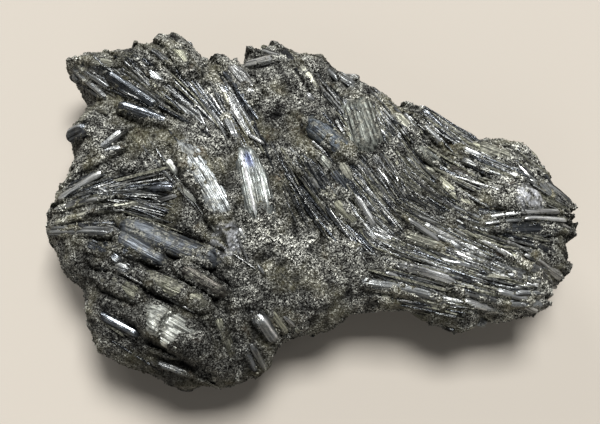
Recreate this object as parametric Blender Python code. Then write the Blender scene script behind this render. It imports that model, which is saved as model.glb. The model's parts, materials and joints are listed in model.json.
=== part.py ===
"""A hand specimen of cylindrite: lead-grey rolled cylinders grown together in a fine-grained mass.

The specimen grew as one piece, so it is one solid. Its ground mass is a lump between two height
fields that meet along the widest contour, the rim. The crystals are many-sided prisms that lie half
sunk in it, and one Boolean union joins them with it.

Run it with: blender --background --python part.py
"""

import math
import random
from typing import NamedTuple

import bmesh
import bpy
from mathutils import Matrix, Vector, geometry, noise

MM = 0.001

# Driving dimensions, in millimetres. The origin is under the middle of the specimen, on its base.
RIM_HEIGHT = 4.5  # the widest contour stands this far above the base
RIM_WAVE = 0.7  # and wanders up and down by this much
CROWN_RISE = 4.1  # from the rim to the shoulder of the top face
CROWN_DOME = 0.11  # further rise for each millimetre inwards of the shoulder
DOME_REACH = 8.0
SHOULDER_WIDTH = 4.0  # how far in from the rim the shoulder lies
SHOULDER_SLANT = 0.12  # the near side slopes more gently than the far side
KEEL_WIDTH = 4.6  # how far in from the rim the underside reaches the base
SOLE_X = -2.5  # the middle of the flat face that the specimen rests on
SOLE_Y = -0.4
SOLE_LENGTH = 7.5  # half its length and half its width
SOLE_WIDTH = 4.8
UNDER_LOWEST = 0.12  # outside the flat face nothing comes nearer to the base than this
SOLE_CUT = 0.25  # the underside would reach this far below the base there, and is flat instead
ARCH_HEIGHT = 0.5  # around the flat face the underside stands this far above the base
LUMP_SIZE = 2.6
LUMP_HEIGHT = 0.75
CHIP_SIZE = 1.5
CHIP_HEIGHT = 0.4
TOP_PITCH = 1.62  # spacing of the points of the top face
UNDER_PITCH = 2.1
RIM_PITCH = 1.8
RIM_ROUGHNESS = 0.1
SHIFT_X = 0.18  # the finished solid is moved by this, to have the origin under its middle
SHIFT_Y = 0.39
WALL_INSET = 0.5  # a second row of points this far inside the rim keeps the walls steep

# The rim seen from above, clockwise from the north-western tip.
NORTH_RIM = (
    (-16.0, 8.7), (-15.4, 9.1), (-14.8, 9.5), (-13.3, 9.5), (-12.5, 9.7), (-11.5, 10.0),
    (-10.3, 10.4), (-9.7, 10.8), (-9.5, 10.9), (-9.0, 10.8), (-8.5, 10.4), (-8.0, 9.9), (-7.3, 9.0),
    (-6.1, 8.8), (-4.9, 8.7), (-4.7, 9.9), (-4.2, 9.8), (-3.4, 10.5), (-3.0, 10.3), (-2.2, 10.2),
    (-1.2, 9.9), (0.3, 9.9), (0.6, 9.5), (1.4, 8.6),
)
NORTH_EAST_RIM = (
    (3.0, 7.9), (3.9, 7.3), (5.1, 6.3), (6.3, 6.4), (7.1, 6.2), (7.6, 5.8), (8.5, 5.2), (9.5, 4.8),
    (10.3, 4.4), (11.6, 4.5), (12.7, 4.4), (13.4, 4.0), (14.2, 3.5), (14.1, 3.0), (14.8, 2.1),
    (14.9, 1.4), (15.8, 0.4), (16.5, -0.1),
)
SOUTH_EAST_RIM = (
    (16.1, -0.3), (16.1, -1.2), (16.5, -1.7), (15.8, -2.4), (15.8, -3.7), (15.4, -4.8),
    (14.7, -5.1), (14.0, -5.8), (14.2, -6.5), (13.4, -7.0), (11.0, -7.4), (10.0, -7.2), (9.5, -7.8),
    (8.5, -8.1), (7.4, -7.6), (6.8, -7.6), (6.4, -7.0), (5.4, -6.6),
)
SOUTH_RIM = (
    (3.7, -6.7), (1.8, -6.9), (1.0, -7.6), (0.2, -8.1), (-1.5, -8.3), (-2.5, -8.7), (-2.9, -9.4),
    (-3.3, -10.2), (-3.8, -10.7), (-5.2, -11.2), (-6.3, -11.5), (-7.2, -11.3), (-8.3, -11.6),
    (-9.3, -11.3), (-10.2, -10.7), (-12.0, -10.1), (-13.5, -9.3),
)
WEST_RIM = (
    (-14.2, -7.7), (-14.3, -6.7), (-14.5, -5.5), (-15.5, -4.8), (-15.9, -4.1), (-16.1, -3.4),
    (-16.7, -2.5), (-16.8, -1.2), (-16.5, -0.7), (-16.4, 0.3), (-15.8, 1.0), (-15.5, 2.0),
    (-15.2, 2.4), (-15.5, 3.3), (-15.6, 4.6), (-15.0, 5.4), (-14.4, 6.0), (-15.0, 7.0),
    (-15.4, 7.8),
)
RIM = NORTH_RIM + NORTH_EAST_RIM + SOUTH_EAST_RIM + SOUTH_RIM + WEST_RIM


class Hill(NamedTuple):
    """A rise of the top face, or a hollow where its height is negative."""

    name: str
    x: float
    y: float
    radius: float
    height: float


HILLS = (
    Hill("centre rise", -5.0, 0.5, 4.0, 0.9),
    Hill("grainy mound", -3.0, -4.4, 2.2, 0.6),
    Hill("east knuckle", 12.0, -0.4, 1.6, 0.8),
    Hill("south-west barrel seat", -8.5, -8.5, 2.0, 0.6),
    Hill("north bump", -8.8, 8.3, 1.8, 0.6),
    Hill("north shoulder", -2.5, 8.2, 2.5, 0.5),
    Hill("middle ridge", 2.0, 3.5, 2.5, 0.5),
    Hill("west groove", -10.3, -0.2, 1.6, -0.9),
    Hill("north hollow", 0.6, 7.2, 1.3, -0.9),
    Hill("north-east hollow", 8.0, 1.3, 1.8, -0.9),
    Hill("south pocket", -5.0, -9.3, 1.3, -1.1),
    Hill("middle valley", -1.8, -1.2, 1.8, -0.6),
    Hill("north-west valley", -12.0, 3.2, 1.8, -0.5),
    Hill("south-west step", -12.5, -8.0, 2.0, -0.7),
)


class Crystal(NamedTuple):
    """One cylinder lying on the top face, from one end to the other as seen from above."""

    name: str
    start: tuple
    end: tuple
    radius: float
    proud: float = 0.55  # the share of its thickness that stands above the ground mass
    sides: int = 8


LARGE_CRYSTALS = (
    Crystal("silver barrel", (-8.7, 1.9), (-6.1, -2.4), 0.92, 0.6, 12),
    Crystal("blue barrel", (-4.9, 2.1), (-4.2, -2.2), 1.08, 0.6, 12),
    Crystal("split barrel", (-10.5, -7.8), (-6.7, -9.9), 1.08, 0.54, 12),
    Crystal("dark stub", (-0.8, 3.3), (1.9, 1.6), 0.8, 0.58, 12),
    Crystal("pale slab", (2.2, 5.5), (3.0, 2.4), 0.8, 0.5, 12),
    Crystal("east knuckle", (10.2, -0.5), (13.2, -0.7), 0.96, 0.5, 12),
    Crystal("long dark cylinder", (-12.5, -2.2), (-6.7, -4.3), 0.61, 0.6, 10),
    Crystal("lower dark cylinder", (-9.2, -4.8), (-6.0, -6.7), 0.54, 0.56, 10),
    Crystal("side by side cylinder", (-12.7, -3.0), (-9.5, -4.8), 0.51, 0.54, 10),
    Crystal("top bump cylinder", (-9.5, 8.8), (-7.9, 6.5), 0.64, 0.58, 10),
    Crystal("peeling cylinder", (-6.0, 7.9), (-4.3, 5.3), 0.57, 0.58, 10),
    Crystal("north-west upper", (-13.4, 7.0), (-10.2, 4.5), 0.48, 0.6),
    Crystal("north-west lower", (-12.7, 4.9), (-9.4, 3.2), 0.51, 0.6, 10),
    Crystal("crusted cylinder", (-10.9, -5.6), (-7.0, -7.4), 0.57, 0.56, 10),
)
MEDIUM_CRYSTALS = (
    Crystal("north-west ledge", (-14.8, 8.3), (-12.4, 7.4), 0.32, 0.5),
    Crystal("fan rib", (-12.6, 8.1), (-9.8, 5.3), 0.25, 0.6, 7),
    Crystal("fan outer rib", (-10.8, 8.7), (-9.4, 7.3), 0.22, 0.58, 7),
    Crystal("round knob", (-15.7, 3.9), (-14.0, 3.3), 0.57, 0.6, 10),
    Crystal("north rod", (-1.4, 8.2), (-0.2, 6.0), 0.41, 0.6),
    Crystal("north dark rod", (-6.6, 7.5), (-4.6, 4.8), 0.23, 0.55, 7),
    Crystal("north greenish rod", (-5.3, 8.0), (-4.8, 6.2), 0.25, 0.55, 7),
    Crystal("slab rib", (1.0, 5.7), (1.7, 3.1), 0.23, 0.58, 7),
    Crystal("stub side rod", (0.9, 3.7), (2.3, 1.8), 0.23, 0.56, 7),
    Crystal("middle band", (-0.8, 1.7), (1.0, 0.0), 0.33, 0.56),
    Crystal("middle strip", (0.0, 2.3), (1.5, 0.1), 0.36, 0.58),
    Crystal("middle strip end", (1.3, 0.0), (2.9, -2.5), 0.27, 0.56, 7),
    Crystal("middle sheet", (-0.8, 0.0), (2.4, -3.0), 0.45, 0.5),
    Crystal("bright cap rod", (-6.4, 4.4), (-5.5, 2.4), 0.35),
    Crystal("north-east lath", (4.2, 5.0), (5.7, 3.0), 0.41),
    Crystal("north-east blade", (5.3, 2.9), (7.4, 1.7), 0.39, 0.58),
    Crystal("north-east edge rod", (5.4, 5.0), (7.4, 3.0), 0.25, 0.56, 7),
    Crystal("north-east dark rib", (6.1, 5.5), (7.7, 3.9), 0.25, 0.56, 7),
    Crystal("flat pale lath", (9.5, 3.2), (11.6, 2.0), 0.48, 0.52),
    Crystal("outer knob", (11.7, 3.3), (13.5, 2.4), 0.41, 0.54),
    Crystal("far rod", (11.0, 2.4), (14.3, -0.2), 0.29, 0.6, 7),
    Crystal("olive rod", (6.6, 1.2), (9.2, -1.6), 0.41, 0.56),
    Crystal("brown rod", (7.4, 1.8), (9.5, 0.9), 0.33, 0.56),
    Crystal("east lower rod", (9.9, -2.5), (14.5, -2.1), 0.37, 0.58),
    Crystal("west long rod", (-16.7, -2.2), (-12.5, -3.0), 0.41, 0.6),
    Crystal("west pale rod", (-16.6, -1.7), (-12.5, -2.2), 0.29, 0.58, 7),
    Crystal("west olive rod", (-16.4, -1.1), (-13.6, -1.4), 0.23, 0.55, 7),
    Crystal("west middle rod", (-16.3, -0.7), (-13.0, -0.9), 0.24, 0.58, 7),
    Crystal("west inner rod", (-14.5, -1.7), (-11.2, -0.9), 0.28, 0.58, 7),
    Crystal("west ridge", (-15.7, 0.3), (-13.4, 0.8), 0.25, 0.6, 7),
    Crystal("south-west rod", (-13.4, -5.4), (-10.9, -6.8), 0.54, 0.52, 10),
    Crystal("south-west bright rod", (-13.7, -7.3), (-10.7, -9.2), 0.48, 0.6),
    Crystal("south strip", (-6.7, -7.8), (-5.7, -10.1), 0.34, 0.54),
    Crystal("south bright rod", (-4.5, -7.6), (-2.9, -9.0), 0.54, 0.58, 10),
    Crystal("south olive rod", (-3.6, -7.3), (-2.4, -8.4), 0.34),
    Crystal("bay rod", (1.8, -5.4), (7.3, -6.3), 0.34, 0.56),
    Crystal("bay upper rod", (4.0, -4.5), (8.0, -5.5), 0.32, 0.58),
    Crystal("bay pale foot", (3.2, -6.2), (4.5, -6.4), 0.27, 0.55, 7),
    Crystal("fan pale rod", (4.1, -2.8), (7.4, -3.7), 0.36, 0.54),
    Crystal("fan bright rod", (8.8, -2.9), (11.4, -4.4), 0.2, 0.62, 7),
    Crystal("fan lower rod", (7.6, -5.9), (10.9, -6.6), 0.28, 0.56, 7),
    Crystal("foot rod", (8.3, -6.6), (10.6, -6.9), 0.25, 0.58, 7),
    Crystal("tip bundle", (-15.6, 8.4), (-13.3, 5.9), 0.42),
    Crystal("east upper rods", (9.1, -1.95), (14.8, -1.25), 0.36, 0.6),
)


class Bundle(NamedTuple):
    """Smaller crystals that grew side by side around one heading."""

    name: str
    x: float
    y: float
    heading: float  # degrees from +X
    spread: float
    along: float  # size of the patch that their middles fill
    across: float
    count: int
    length: float
    radius: float


BUNDLES = (
    Bundle("north-west slope", -12.3, 6.3, -48, 7, 1.2, 1.6, 2, 2.2, 0.24),
    Bundle("north bump", -9.9, 6.4, -50, 8, 1.2, 1.6, 3, 2.0, 0.26),
    Bundle("north middle", -3.2, 8.6, -55, 14, 1.6, 2.4, 3, 2.2, 0.3),
    Bundle("north edge", 1.6, 7.6, -52, 10, 1.2, 1.8, 2, 2.0, 0.3),
    Bundle("middle sheets", 0.4, -0.9, -52, 5, 2.4, 2.4, 4, 2.8, 0.24),
    Bundle("north-east comb", 3.9, 2.6, -56, 6, 1.6, 1.2, 3, 2.4, 0.24),
    Bundle("east shoulder", 9.8, 2.2, -34, 9, 2.2, 1.8, 3, 2.4, 0.26),
    Bundle("east end", 14.4, 1.0, -32, 10, 1.4, 1.8, 3, 2.2, 0.26),
    Bundle("south-east fan", 7.2, -2.2, -28, 5, 3.6, 3.0, 7, 3.2, 0.24),
    Bundle("south-east end", 12.6, -4.4, -12, 6, 2.8, 2.4, 6, 2.8, 0.24),
    Bundle("south-east foot", 11.6, -6.2, -8, 7, 2.4, 0.9, 3, 2.4, 0.24),
    Bundle("west slope", -13.4, 2.0, 18, 10, 1.4, 1.4, 3, 2.2, 0.28),
    Bundle("south-west slope", -13.0, -4.2, -24, 7, 1.6, 1.4, 3, 2.6, 0.32),
    Bundle("south wall", -9.0, -10.5, -30, 9, 2.8, 0.8, 2, 2.2, 0.3),
    Bundle("south tip", -4.6, -9.9, -45, 12, 1.4, 1.2, 2, 1.9, 0.3),
)

WALL_CRYSTALS = 34  # on the sides, at all heights
WALL_LOWEST = 1.6
WALL_HIGHEST = 6.4
UNDER_CRYSTALS = 18
SHOULDER = 0.3  # of the radius
STOUT_SIDES = 12
SEED = 7

BODY_COLOUR = (0.09, 0.09, 0.095, 1.0)


def clear_scene():
    """Remove the objects that a new file starts with."""
    for obj in list(bpy.data.objects):
        bpy.data.objects.remove(obj, do_unlink=True)


def rim_distance(x, y):
    """How far a point is inside the rim; negative outside it."""
    nearest = math.inf
    inside = False
    for (ax, ay), (bx, by) in zip(RIM, RIM[1:] + RIM[:1]):
        ex, ey = bx - ax, by - ay
        share = ((x - ax) * ex + (y - ay) * ey) / (ex * ex + ey * ey)
        share = min(max(share, 0.0), 1.0)
        nearest = min(nearest, math.hypot(ax + share * ex - x, ay + share * ey - y))
        if (ay > y) != (by > y) and x < ex * (y - ay) / ey + ax:
            inside = not inside
    return nearest if inside else -nearest


def roughness(x, y, layer):
    """Lumps and chips of the broken surface, in millimetres; a layer is one independent face."""
    lumps = noise.noise(Vector((x, y, layer * 31.7)) / LUMP_SIZE)
    chips = noise.noise(Vector((x, y, layer * 17.3)) / CHIP_SIZE)
    return LUMP_HEIGHT * lumps + CHIP_HEIGHT * chips


def rim_height(x, y):
    """The height of the widest contour near a point."""
    return RIM_HEIGHT + RIM_WAVE * noise.noise(Vector((x, y, 5.0)) / 5.0)


def top_height(x, y):
    """The height of the ground mass on the upper side."""
    inwards = max(rim_distance(x, y), 0.0)
    width = SHOULDER_WIDTH - SHOULDER_SLANT * y
    share = min(inwards / width, 1.0)
    crown = CROWN_RISE * math.sqrt(1.0 - (1.0 - share) ** 2)
    dome = CROWN_DOME * max(min(inwards, DOME_REACH) - width, 0.0)
    hills = sum(
        hill.height * math.exp(-((x - hill.x) ** 2 + (y - hill.y) ** 2) / hill.radius**2)
        for hill in HILLS
    )
    return rim_height(x, y) + crown + dome + share * (hills + roughness(x, y, 1))


def under_height(x, y):
    """The height of the ground mass on the underside, which is flat where it meets the base."""
    inwards = max(rim_distance(x, y), 0.0)
    share = min(inwards / KEEL_WIDTH, 1.0)
    off_sole = math.hypot((x - SOLE_X) / SOLE_LENGTH, (y - SOLE_Y) / SOLE_WIDTH) - 0.8
    arch = min(max(off_sole / 0.5, 0.0), 1.0)
    bed = arch * (ARCH_HEIGHT + roughness(x, y, 2)) - (1.0 - arch) * SOLE_CUT
    keel = (rim_height(x, y) - bed) * math.sqrt(1.0 - (1.0 - share) ** 2)
    return max(rim_height(x, y) - keel, UNDER_LOWEST * arch)


def rim_points(rng):
    """The rim with its long stretches divided, and a little roughness on the new points."""
    points = []
    for (ax, ay), (bx, by) in zip(RIM, RIM[1:] + RIM[:1]):
        parts = max(1, round(math.hypot(bx - ax, by - ay) / RIM_PITCH))
        points.append((ax, ay))
        for part in range(1, parts):
            x = ax + (bx - ax) * part / parts
            y = ay + (by - ay) * part / parts
            points.append((x + rng.gauss(0, RIM_ROUGHNESS), y + rng.gauss(0, RIM_ROUGHNESS)))
    return points


def wall_foot_points():
    """A row of points just inside the rim."""
    points = []
    for before, here, after in zip(RIM[-1:] + RIM[:-1], RIM, RIM[1:] + RIM[:1]):
        along = (Vector(after) - Vector(before)).normalized()
        foot = Vector(here) + Vector((along.y, -along.x)) * WALL_INSET
        if rim_distance(*foot) > 0.7 * WALL_INSET:
            points.append(tuple(foot))
    return points


def scattered_points(pitch, rng):
    """Points inside the rim on a staggered grid, each moved a little."""
    points = wall_foot_points()
    rows = int(24 / pitch)
    columns = int(36 / pitch)
    for row in range(-rows // 2, rows // 2 + 1):
        for column in range(-columns // 2, columns // 2 + 1):
            x = (column + 0.5 * (row % 2)) * pitch + rng.uniform(-0.25, 0.25) * pitch
            y = row * pitch + rng.uniform(-0.25, 0.25) * pitch
            if rim_distance(x, y) > WALL_INSET + 0.4 * pitch:
                points.append((x, y))
    return points


def face_field(bm, rim_vertices, pitch, height_at, rng):
    """Triangles that fill the rim, as vertex sets; their inner points follow a height function."""
    inner = scattered_points(pitch, rng)
    flat = [Vector((v.co.x, v.co.y)) / MM for v in rim_vertices] + [Vector(p) for p in inner]
    count = len(rim_vertices)
    border = [(i, (i + 1) % count) for i in range(count)]
    points, _, faces, origins, _, _ = geometry.delaunay_2d_cdt(flat, border, [], 1, 1e-6)
    vertices = []
    for point, origin in zip(points, origins):
        if origin and min(origin) < count:
            vertices.append(rim_vertices[min(origin)])
        else:
            z = height_at(point.x, point.y)
            vertices.append(bm.verts.new(Vector((point.x, point.y, z)) * MM))
    return {frozenset(vertices[i] for i in face) for face in faces}


def ground_mass():
    """The lump that the crystals lie in, as a closed mesh."""
    rng = random.Random(SEED)
    bm = bmesh.new()
    rim = [
        bm.verts.new(Vector((x, y, rim_height(x, y))) * MM) for x, y in rim_points(rng)
    ]
    top = face_field(bm, rim, TOP_PITCH, top_height, rng)
    under = face_field(bm, rim, UNDER_PITCH, under_height, rng)
    # A corner of the rim that both fields fill with the same triangle has no thickness.
    for face in sorted(top ^ under, key=lambda face: sorted(v.co[:] for v in face)):
        bm.faces.new(face)
    loose = [v for v in bm.verts if not v.link_faces]
    bmesh.ops.delete(bm, geom=loose, context="VERTS")
    bmesh.ops.recalc_face_normals(bm, faces=bm.faces)
    return bm


def settled_axis(start, end, radius, proud, height_at, side):
    """The ends of a crystal that lies along the surface, sunk to its share above it."""
    a, b = Vector(start), Vector(end)
    steps = 6
    heights = [height_at(*a.lerp(b, i / steps)) for i in range(steps + 1)]
    mean = sum(heights) / len(heights)
    slope = sum((i / steps - 0.5) * (h - mean) for i, h in enumerate(heights))
    slope /= sum((i / steps - 0.5) ** 2 for i in range(steps + 1))
    lift = side * radius * (2.0 * proud - 1.0)
    low = mean - 0.5 * slope + lift
    high = mean + 0.5 * slope + lift
    return Vector((a.x, a.y, low)), Vector((b.x, b.y, high))


def prism(start, end, radius, sides, rng):
    """A closed many-sided prism with uneven sides, a slight taper and broken, slanting ends.

    A stout one, with twelve sides, has a narrow slanting shoulder before each end.
    """
    bm = bmesh.new()
    axis = (end - start).normalized()
    length = (end - start).length
    across = axis.orthogonal().normalized()
    beside = axis.cross(across)
    turn = rng.uniform(0, math.tau)
    widths = [rng.uniform(0.93, 1.05) for _ in range(sides)]
    taper = rng.uniform(0.82, 0.97)
    lean_first = Vector((rng.uniform(-0.35, 0.35), rng.uniform(-0.35, 0.35)))
    lean_last = Vector((rng.uniform(-0.35, 0.35), rng.uniform(-0.35, 0.35)))
    shoulder = SHOULDER * radius
    sections = [(0.0, 1.0, lean_first), (length, taper, lean_last)]
    if sides >= STOUT_SIDES:
        sections = [
            (0.0, 1.0 - SHOULDER, lean_first),
            (shoulder, 1.0, lean_first),
            (length - shoulder, taper, lean_last),
            (length, taper - SHOULDER, lean_last),
        ]
    rings = []
    for along, girth, lean in sections:
        ring = []
        for i, width in enumerate(widths):
            angle = turn + math.tau * i / sides
            out = Vector((math.cos(angle), math.sin(angle))) * radius * width * girth
            point = start + axis * (along + lean.dot(out)) + across * out.x + beside * out.y
            ring.append(bm.verts.new(point * MM))
        rings.append(ring)
    for ring, following in zip(rings, rings[1:]):
        for i in range(sides):
            j = (i + 1) % sides
            bm.faces.new((ring[i], ring[j], following[j], following[i]))
    bm.faces.new(rings[0])
    bm.faces.new(rings[-1])
    bmesh.ops.recalc_face_normals(bm, faces=bm.faces)
    return bm


def bundle_crystals(bundle, rng):
    """The crystals of a bundle, each with its own place, heading, length and thickness."""
    heading = math.radians(bundle.heading)
    forward = Vector((math.cos(heading), math.sin(heading)))
    sideways = Vector((-forward.y, forward.x))
    for i in range(bundle.count):
        lane = (i + 0.5) / bundle.count - 0.5
        middle = Vector((bundle.x, bundle.y))
        middle += forward * rng.uniform(-0.5, 0.5) * bundle.along
        middle += sideways * (lane + rng.uniform(-0.1, 0.1)) * bundle.across
        turned = heading + math.radians(rng.gauss(0, bundle.spread))
        half = Vector((math.cos(turned), math.sin(turned)))
        half *= 0.5 * bundle.length * rng.uniform(0.75, 1.2)
        radius = bundle.radius * rng.uniform(0.85, 1.25)
        yield Crystal(bundle.name, tuple(middle - half), tuple(middle + half), radius, 0.56, 6)


def wall_point(rim_x, rim_y, inward, height):
    """The point of the side wall at a height, found by stepping inwards from the rim."""
    below = height < rim_height(rim_x, rim_y)
    step = 0.1
    place = Vector((rim_x, rim_y))
    for _ in range(60):
        place += inward * step
        surface = under_height(*place) if below else top_height(*place)
        if (surface <= height) if below else (surface >= height):
            break
    return Vector((place.x, place.y, height))


def wall_crystals(rng):
    """Axis ends and radius of the crystals that show on the side walls."""
    count = len(RIM)
    for i in range(WALL_CRYSTALS):
        first = int((i + rng.uniform(0.2, 0.8)) * count / WALL_CRYSTALS) % count
        ends = []
        for index in (first, first + rng.choice((1, 1, 2))):
            here, after = Vector(RIM[index % count]), Vector(RIM[(index + 1) % count])
            along = (after - here).normalized()
            inward = Vector((along.y, -along.x))
            height = rng.uniform(WALL_LOWEST, WALL_HIGHEST)
            middle = here.lerp(after, 0.5)
            ends.append(wall_point(middle.x, middle.y, inward, height))
        overrun = (ends[1] - ends[0]).normalized() * rng.uniform(0.0, 0.25)
        yield ends[0] - overrun, ends[1] + overrun, rng.uniform(0.3, 0.46)


def under_crystals(rng):
    """Axis ends and radius of the crystals on the sloping part of the underside."""
    made = 0
    while made < UNDER_CRYSTALS:
        x, y = rng.uniform(-15, 15), rng.uniform(-10, 10)
        off_sole = math.hypot((x - SOLE_X) / SOLE_LENGTH, (y - SOLE_Y) / SOLE_WIDTH)
        if rim_distance(x, y) < 1.2 or off_sole < 1.2:
            continue
        made += 1
        turned = rng.uniform(0, math.tau)
        half = Vector((math.cos(turned), math.sin(turned))) * rng.uniform(1.1, 1.8)
        radius = rng.uniform(0.34, 0.5)
        middle = Vector((x, y))
        start, end = settled_axis(
            middle - half, middle + half, radius, 0.6, under_height, -1
        )
        lowest = min(start.z, end.z) - 1.15 * radius
        lift = max(UNDER_LOWEST - lowest, 0.0)
        raised = Vector((0.0, 0.0, lift))
        yield start + raised, end + raised, radius


def crystal_meshes():
    """Every crystal as (name, mesh)."""
    rng = random.Random(SEED)
    lying = list(LARGE_CRYSTALS + MEDIUM_CRYSTALS)
    places = random.Random(SEED + 1)
    for bundle in BUNDLES:
        lying.extend(bundle_crystals(bundle, places))
    for crystal in lying:
        start, end = settled_axis(
            crystal.start, crystal.end, crystal.radius, crystal.proud, top_height, 1
        )
        yield crystal.name, prism(start, end, crystal.radius, crystal.sides, rng)
    for start, end, radius in wall_crystals(random.Random(SEED + 2)):
        yield "wall crystal", prism(start, end, radius, 7, rng)
    for start, end, radius in under_crystals(random.Random(SEED + 3)):
        yield "underside crystal", prism(start, end, radius, 7, rng)


def new_object(name, bm, collection):
    """An object made from a bmesh, in a collection."""
    mesh = bpy.data.meshes.new(name)
    bm.to_mesh(mesh)
    bm.free()
    obj = bpy.data.objects.new(name, mesh)
    collection.objects.link(obj)
    return obj


def keep_outer_shell(bm):
    """Delete every part of the surface but the largest, which fills pockets shut in by crystals."""
    unseen = set(bm.verts)
    islands = []
    while unseen:
        island = {unseen.pop()}
        edge_of_search = list(island)
        while edge_of_search:
            for edge in edge_of_search.pop().link_edges:
                for vertex in edge.verts:
                    if vertex in unseen:
                        unseen.remove(vertex)
                        island.add(vertex)
                        edge_of_search.append(vertex)
        islands.append(island)
    islands.sort(key=len)
    for island in islands[:-1]:
        bmesh.ops.delete(bm, geom=list(island), context="VERTS")


def grow_together(specimen, crystals):
    """Join the crystals of a collection with the ground mass in one closed surface."""
    union = specimen.modifiers.new("grown together", "BOOLEAN")
    union.operation = "UNION"
    union.solver = "EXACT"
    union.operand_type = "COLLECTION"
    union.collection = crystals
    graph = bpy.context.evaluated_depsgraph_get()
    grown = bpy.data.meshes.new_from_object(specimen.evaluated_get(graph))
    specimen.modifiers.remove(union)
    bm = bmesh.new()
    bm.from_mesh(grown)
    keep_outer_shell(bm)
    bm.to_mesh(specimen.data)
    bm.free()
    bpy.data.meshes.remove(grown)
    for crystal in list(crystals.objects):
        bpy.data.objects.remove(crystal, do_unlink=True)
    bpy.data.collections.remove(crystals)


def sulphide_material():
    """The dark lead-grey metallic finish of the mineral."""
    material = bpy.data.materials.new("cylindrite_grey")
    material.use_nodes = True
    shader = material.node_tree.nodes["Principled BSDF"]
    shader.inputs["Base Color"].default_value = BODY_COLOUR
    shader.inputs["Metallic"].default_value = 0.75
    shader.inputs["Roughness"].default_value = 0.42
    material.diffuse_color = BODY_COLOUR
    return material


def main():
    clear_scene()
    scene_collection = bpy.context.scene.collection
    specimen = new_object("cylindrite_specimen", ground_mass(), scene_collection)
    specimen.data.materials.append(sulphide_material())

    crystals = bpy.data.collections.new("crystals")
    scene_collection.children.link(crystals)
    for name, mesh in crystal_meshes():
        new_object(name, mesh, crystals)
    grow_together(specimen, crystals)
    specimen.data.transform(Matrix.Translation((SHIFT_X * MM, SHIFT_Y * MM, 0.0)))


if __name__ == "__main__":
    main()
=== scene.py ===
"""The finished look of a cylindrite specimen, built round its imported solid.

The ground mass is one fine, grainy skin. The cylinders grown in it come in three sizes: large ones,
each made to its own style, medium rods, and small ones. Geometry Nodes roughen the mass, and spread
thin blades and loose grains over it. Lengths are in millimetres until a mesh is finished, and then
it is scaled to metres.
"""

import json
import logging
import math
import random
from dataclasses import dataclass, field, replace
from enum import Enum
from typing import Iterable, Iterator, Optional, Sequence, Union

import bpy
import numpy as np
from mathutils import Matrix, Vector, geometry, noise

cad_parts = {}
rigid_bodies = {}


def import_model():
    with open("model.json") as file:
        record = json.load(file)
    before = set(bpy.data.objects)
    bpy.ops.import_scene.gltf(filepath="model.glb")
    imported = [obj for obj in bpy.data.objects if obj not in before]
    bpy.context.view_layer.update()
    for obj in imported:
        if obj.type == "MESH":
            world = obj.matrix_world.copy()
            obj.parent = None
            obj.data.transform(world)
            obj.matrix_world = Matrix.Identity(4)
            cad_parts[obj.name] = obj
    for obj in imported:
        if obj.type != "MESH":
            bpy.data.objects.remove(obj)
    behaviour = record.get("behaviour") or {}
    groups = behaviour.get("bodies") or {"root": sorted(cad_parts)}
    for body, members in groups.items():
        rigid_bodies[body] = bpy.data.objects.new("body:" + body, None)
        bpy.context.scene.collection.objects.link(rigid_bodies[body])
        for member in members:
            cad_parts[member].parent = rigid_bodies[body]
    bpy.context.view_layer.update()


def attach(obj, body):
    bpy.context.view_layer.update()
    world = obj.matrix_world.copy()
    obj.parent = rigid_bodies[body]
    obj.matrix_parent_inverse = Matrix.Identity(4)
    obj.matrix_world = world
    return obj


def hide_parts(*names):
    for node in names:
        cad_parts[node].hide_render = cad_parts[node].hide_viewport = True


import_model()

LOG = logging.getLogger("specimen")
NODE = "cylindrite_specimen"
BODY = "root"
MM = 0.001
SEED = 7
WALL_SEED, UNDERSIDE_SEED, BUNDLE_SEED, BUNDLE_TONE_SEED = 9, 10, 8, 12
ROD_SEED, SMALL_SEED = 17, 18
BLADE_SEED, BLADE_SHAPE_SEED, GRAIN_SHAPE_SEED = 47, 57, 77
BRIGHTEST = 0.6  # no painted highlight lifts a crystal's colour above this
BLOOM = (0.16, 0.2, 0.46)  # the blue tarnish near the head of one barrel
EDGE_TINT = (0.25, 0.25, 0.25)  # how much of the metal's gloss is left at grazing angles
SHIFT = (0.18, 0.39, 0.0)  # every finished piece is moved by this, as the solid is

NORTH_RIM = (
    (-16.0, 8.7), (-15.4, 9.1), (-14.8, 9.5), (-13.3, 9.5), (-12.5, 9.7), (-11.5, 10.0),
    (-10.3, 10.4), (-9.7, 10.8), (-9.5, 10.9), (-9.0, 10.8), (-8.5, 10.4), (-8.0, 9.9), (-7.3, 9.0),
    (-6.1, 8.8), (-4.9, 8.7), (-4.7, 9.9), (-4.2, 9.8), (-3.4, 10.5), (-3.0, 10.3), (-2.2, 10.2),
    (-1.2, 9.9), (0.3, 9.9), (0.6, 9.5), (1.4, 8.6),
)
NORTH_EAST_RIM = (
    (3.0, 7.9), (3.9, 7.3), (5.1, 6.3), (6.3, 6.4), (7.1, 6.2), (7.6, 5.8), (8.5, 5.2), (9.5, 4.8),
    (10.3, 4.4), (11.6, 4.5), (12.7, 4.4), (13.4, 4.0), (14.2, 3.5), (14.1, 3.0), (14.8, 2.1),
    (14.9, 1.4), (15.8, 0.4), (16.5, -0.1),
)
SOUTH_EAST_RIM = (
    (16.1, -0.3), (16.1, -1.2), (16.5, -1.7), (15.8, -2.4), (15.8, -3.7), (15.4, -4.8),
    (14.7, -5.1), (14.0, -5.8), (14.2, -6.5), (13.4, -7.0), (11.0, -7.4), (10.0, -7.2), (9.5, -7.8),
    (8.5, -8.1), (7.4, -7.6), (6.8, -7.6), (6.4, -7.0), (5.4, -6.6),
)
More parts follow.
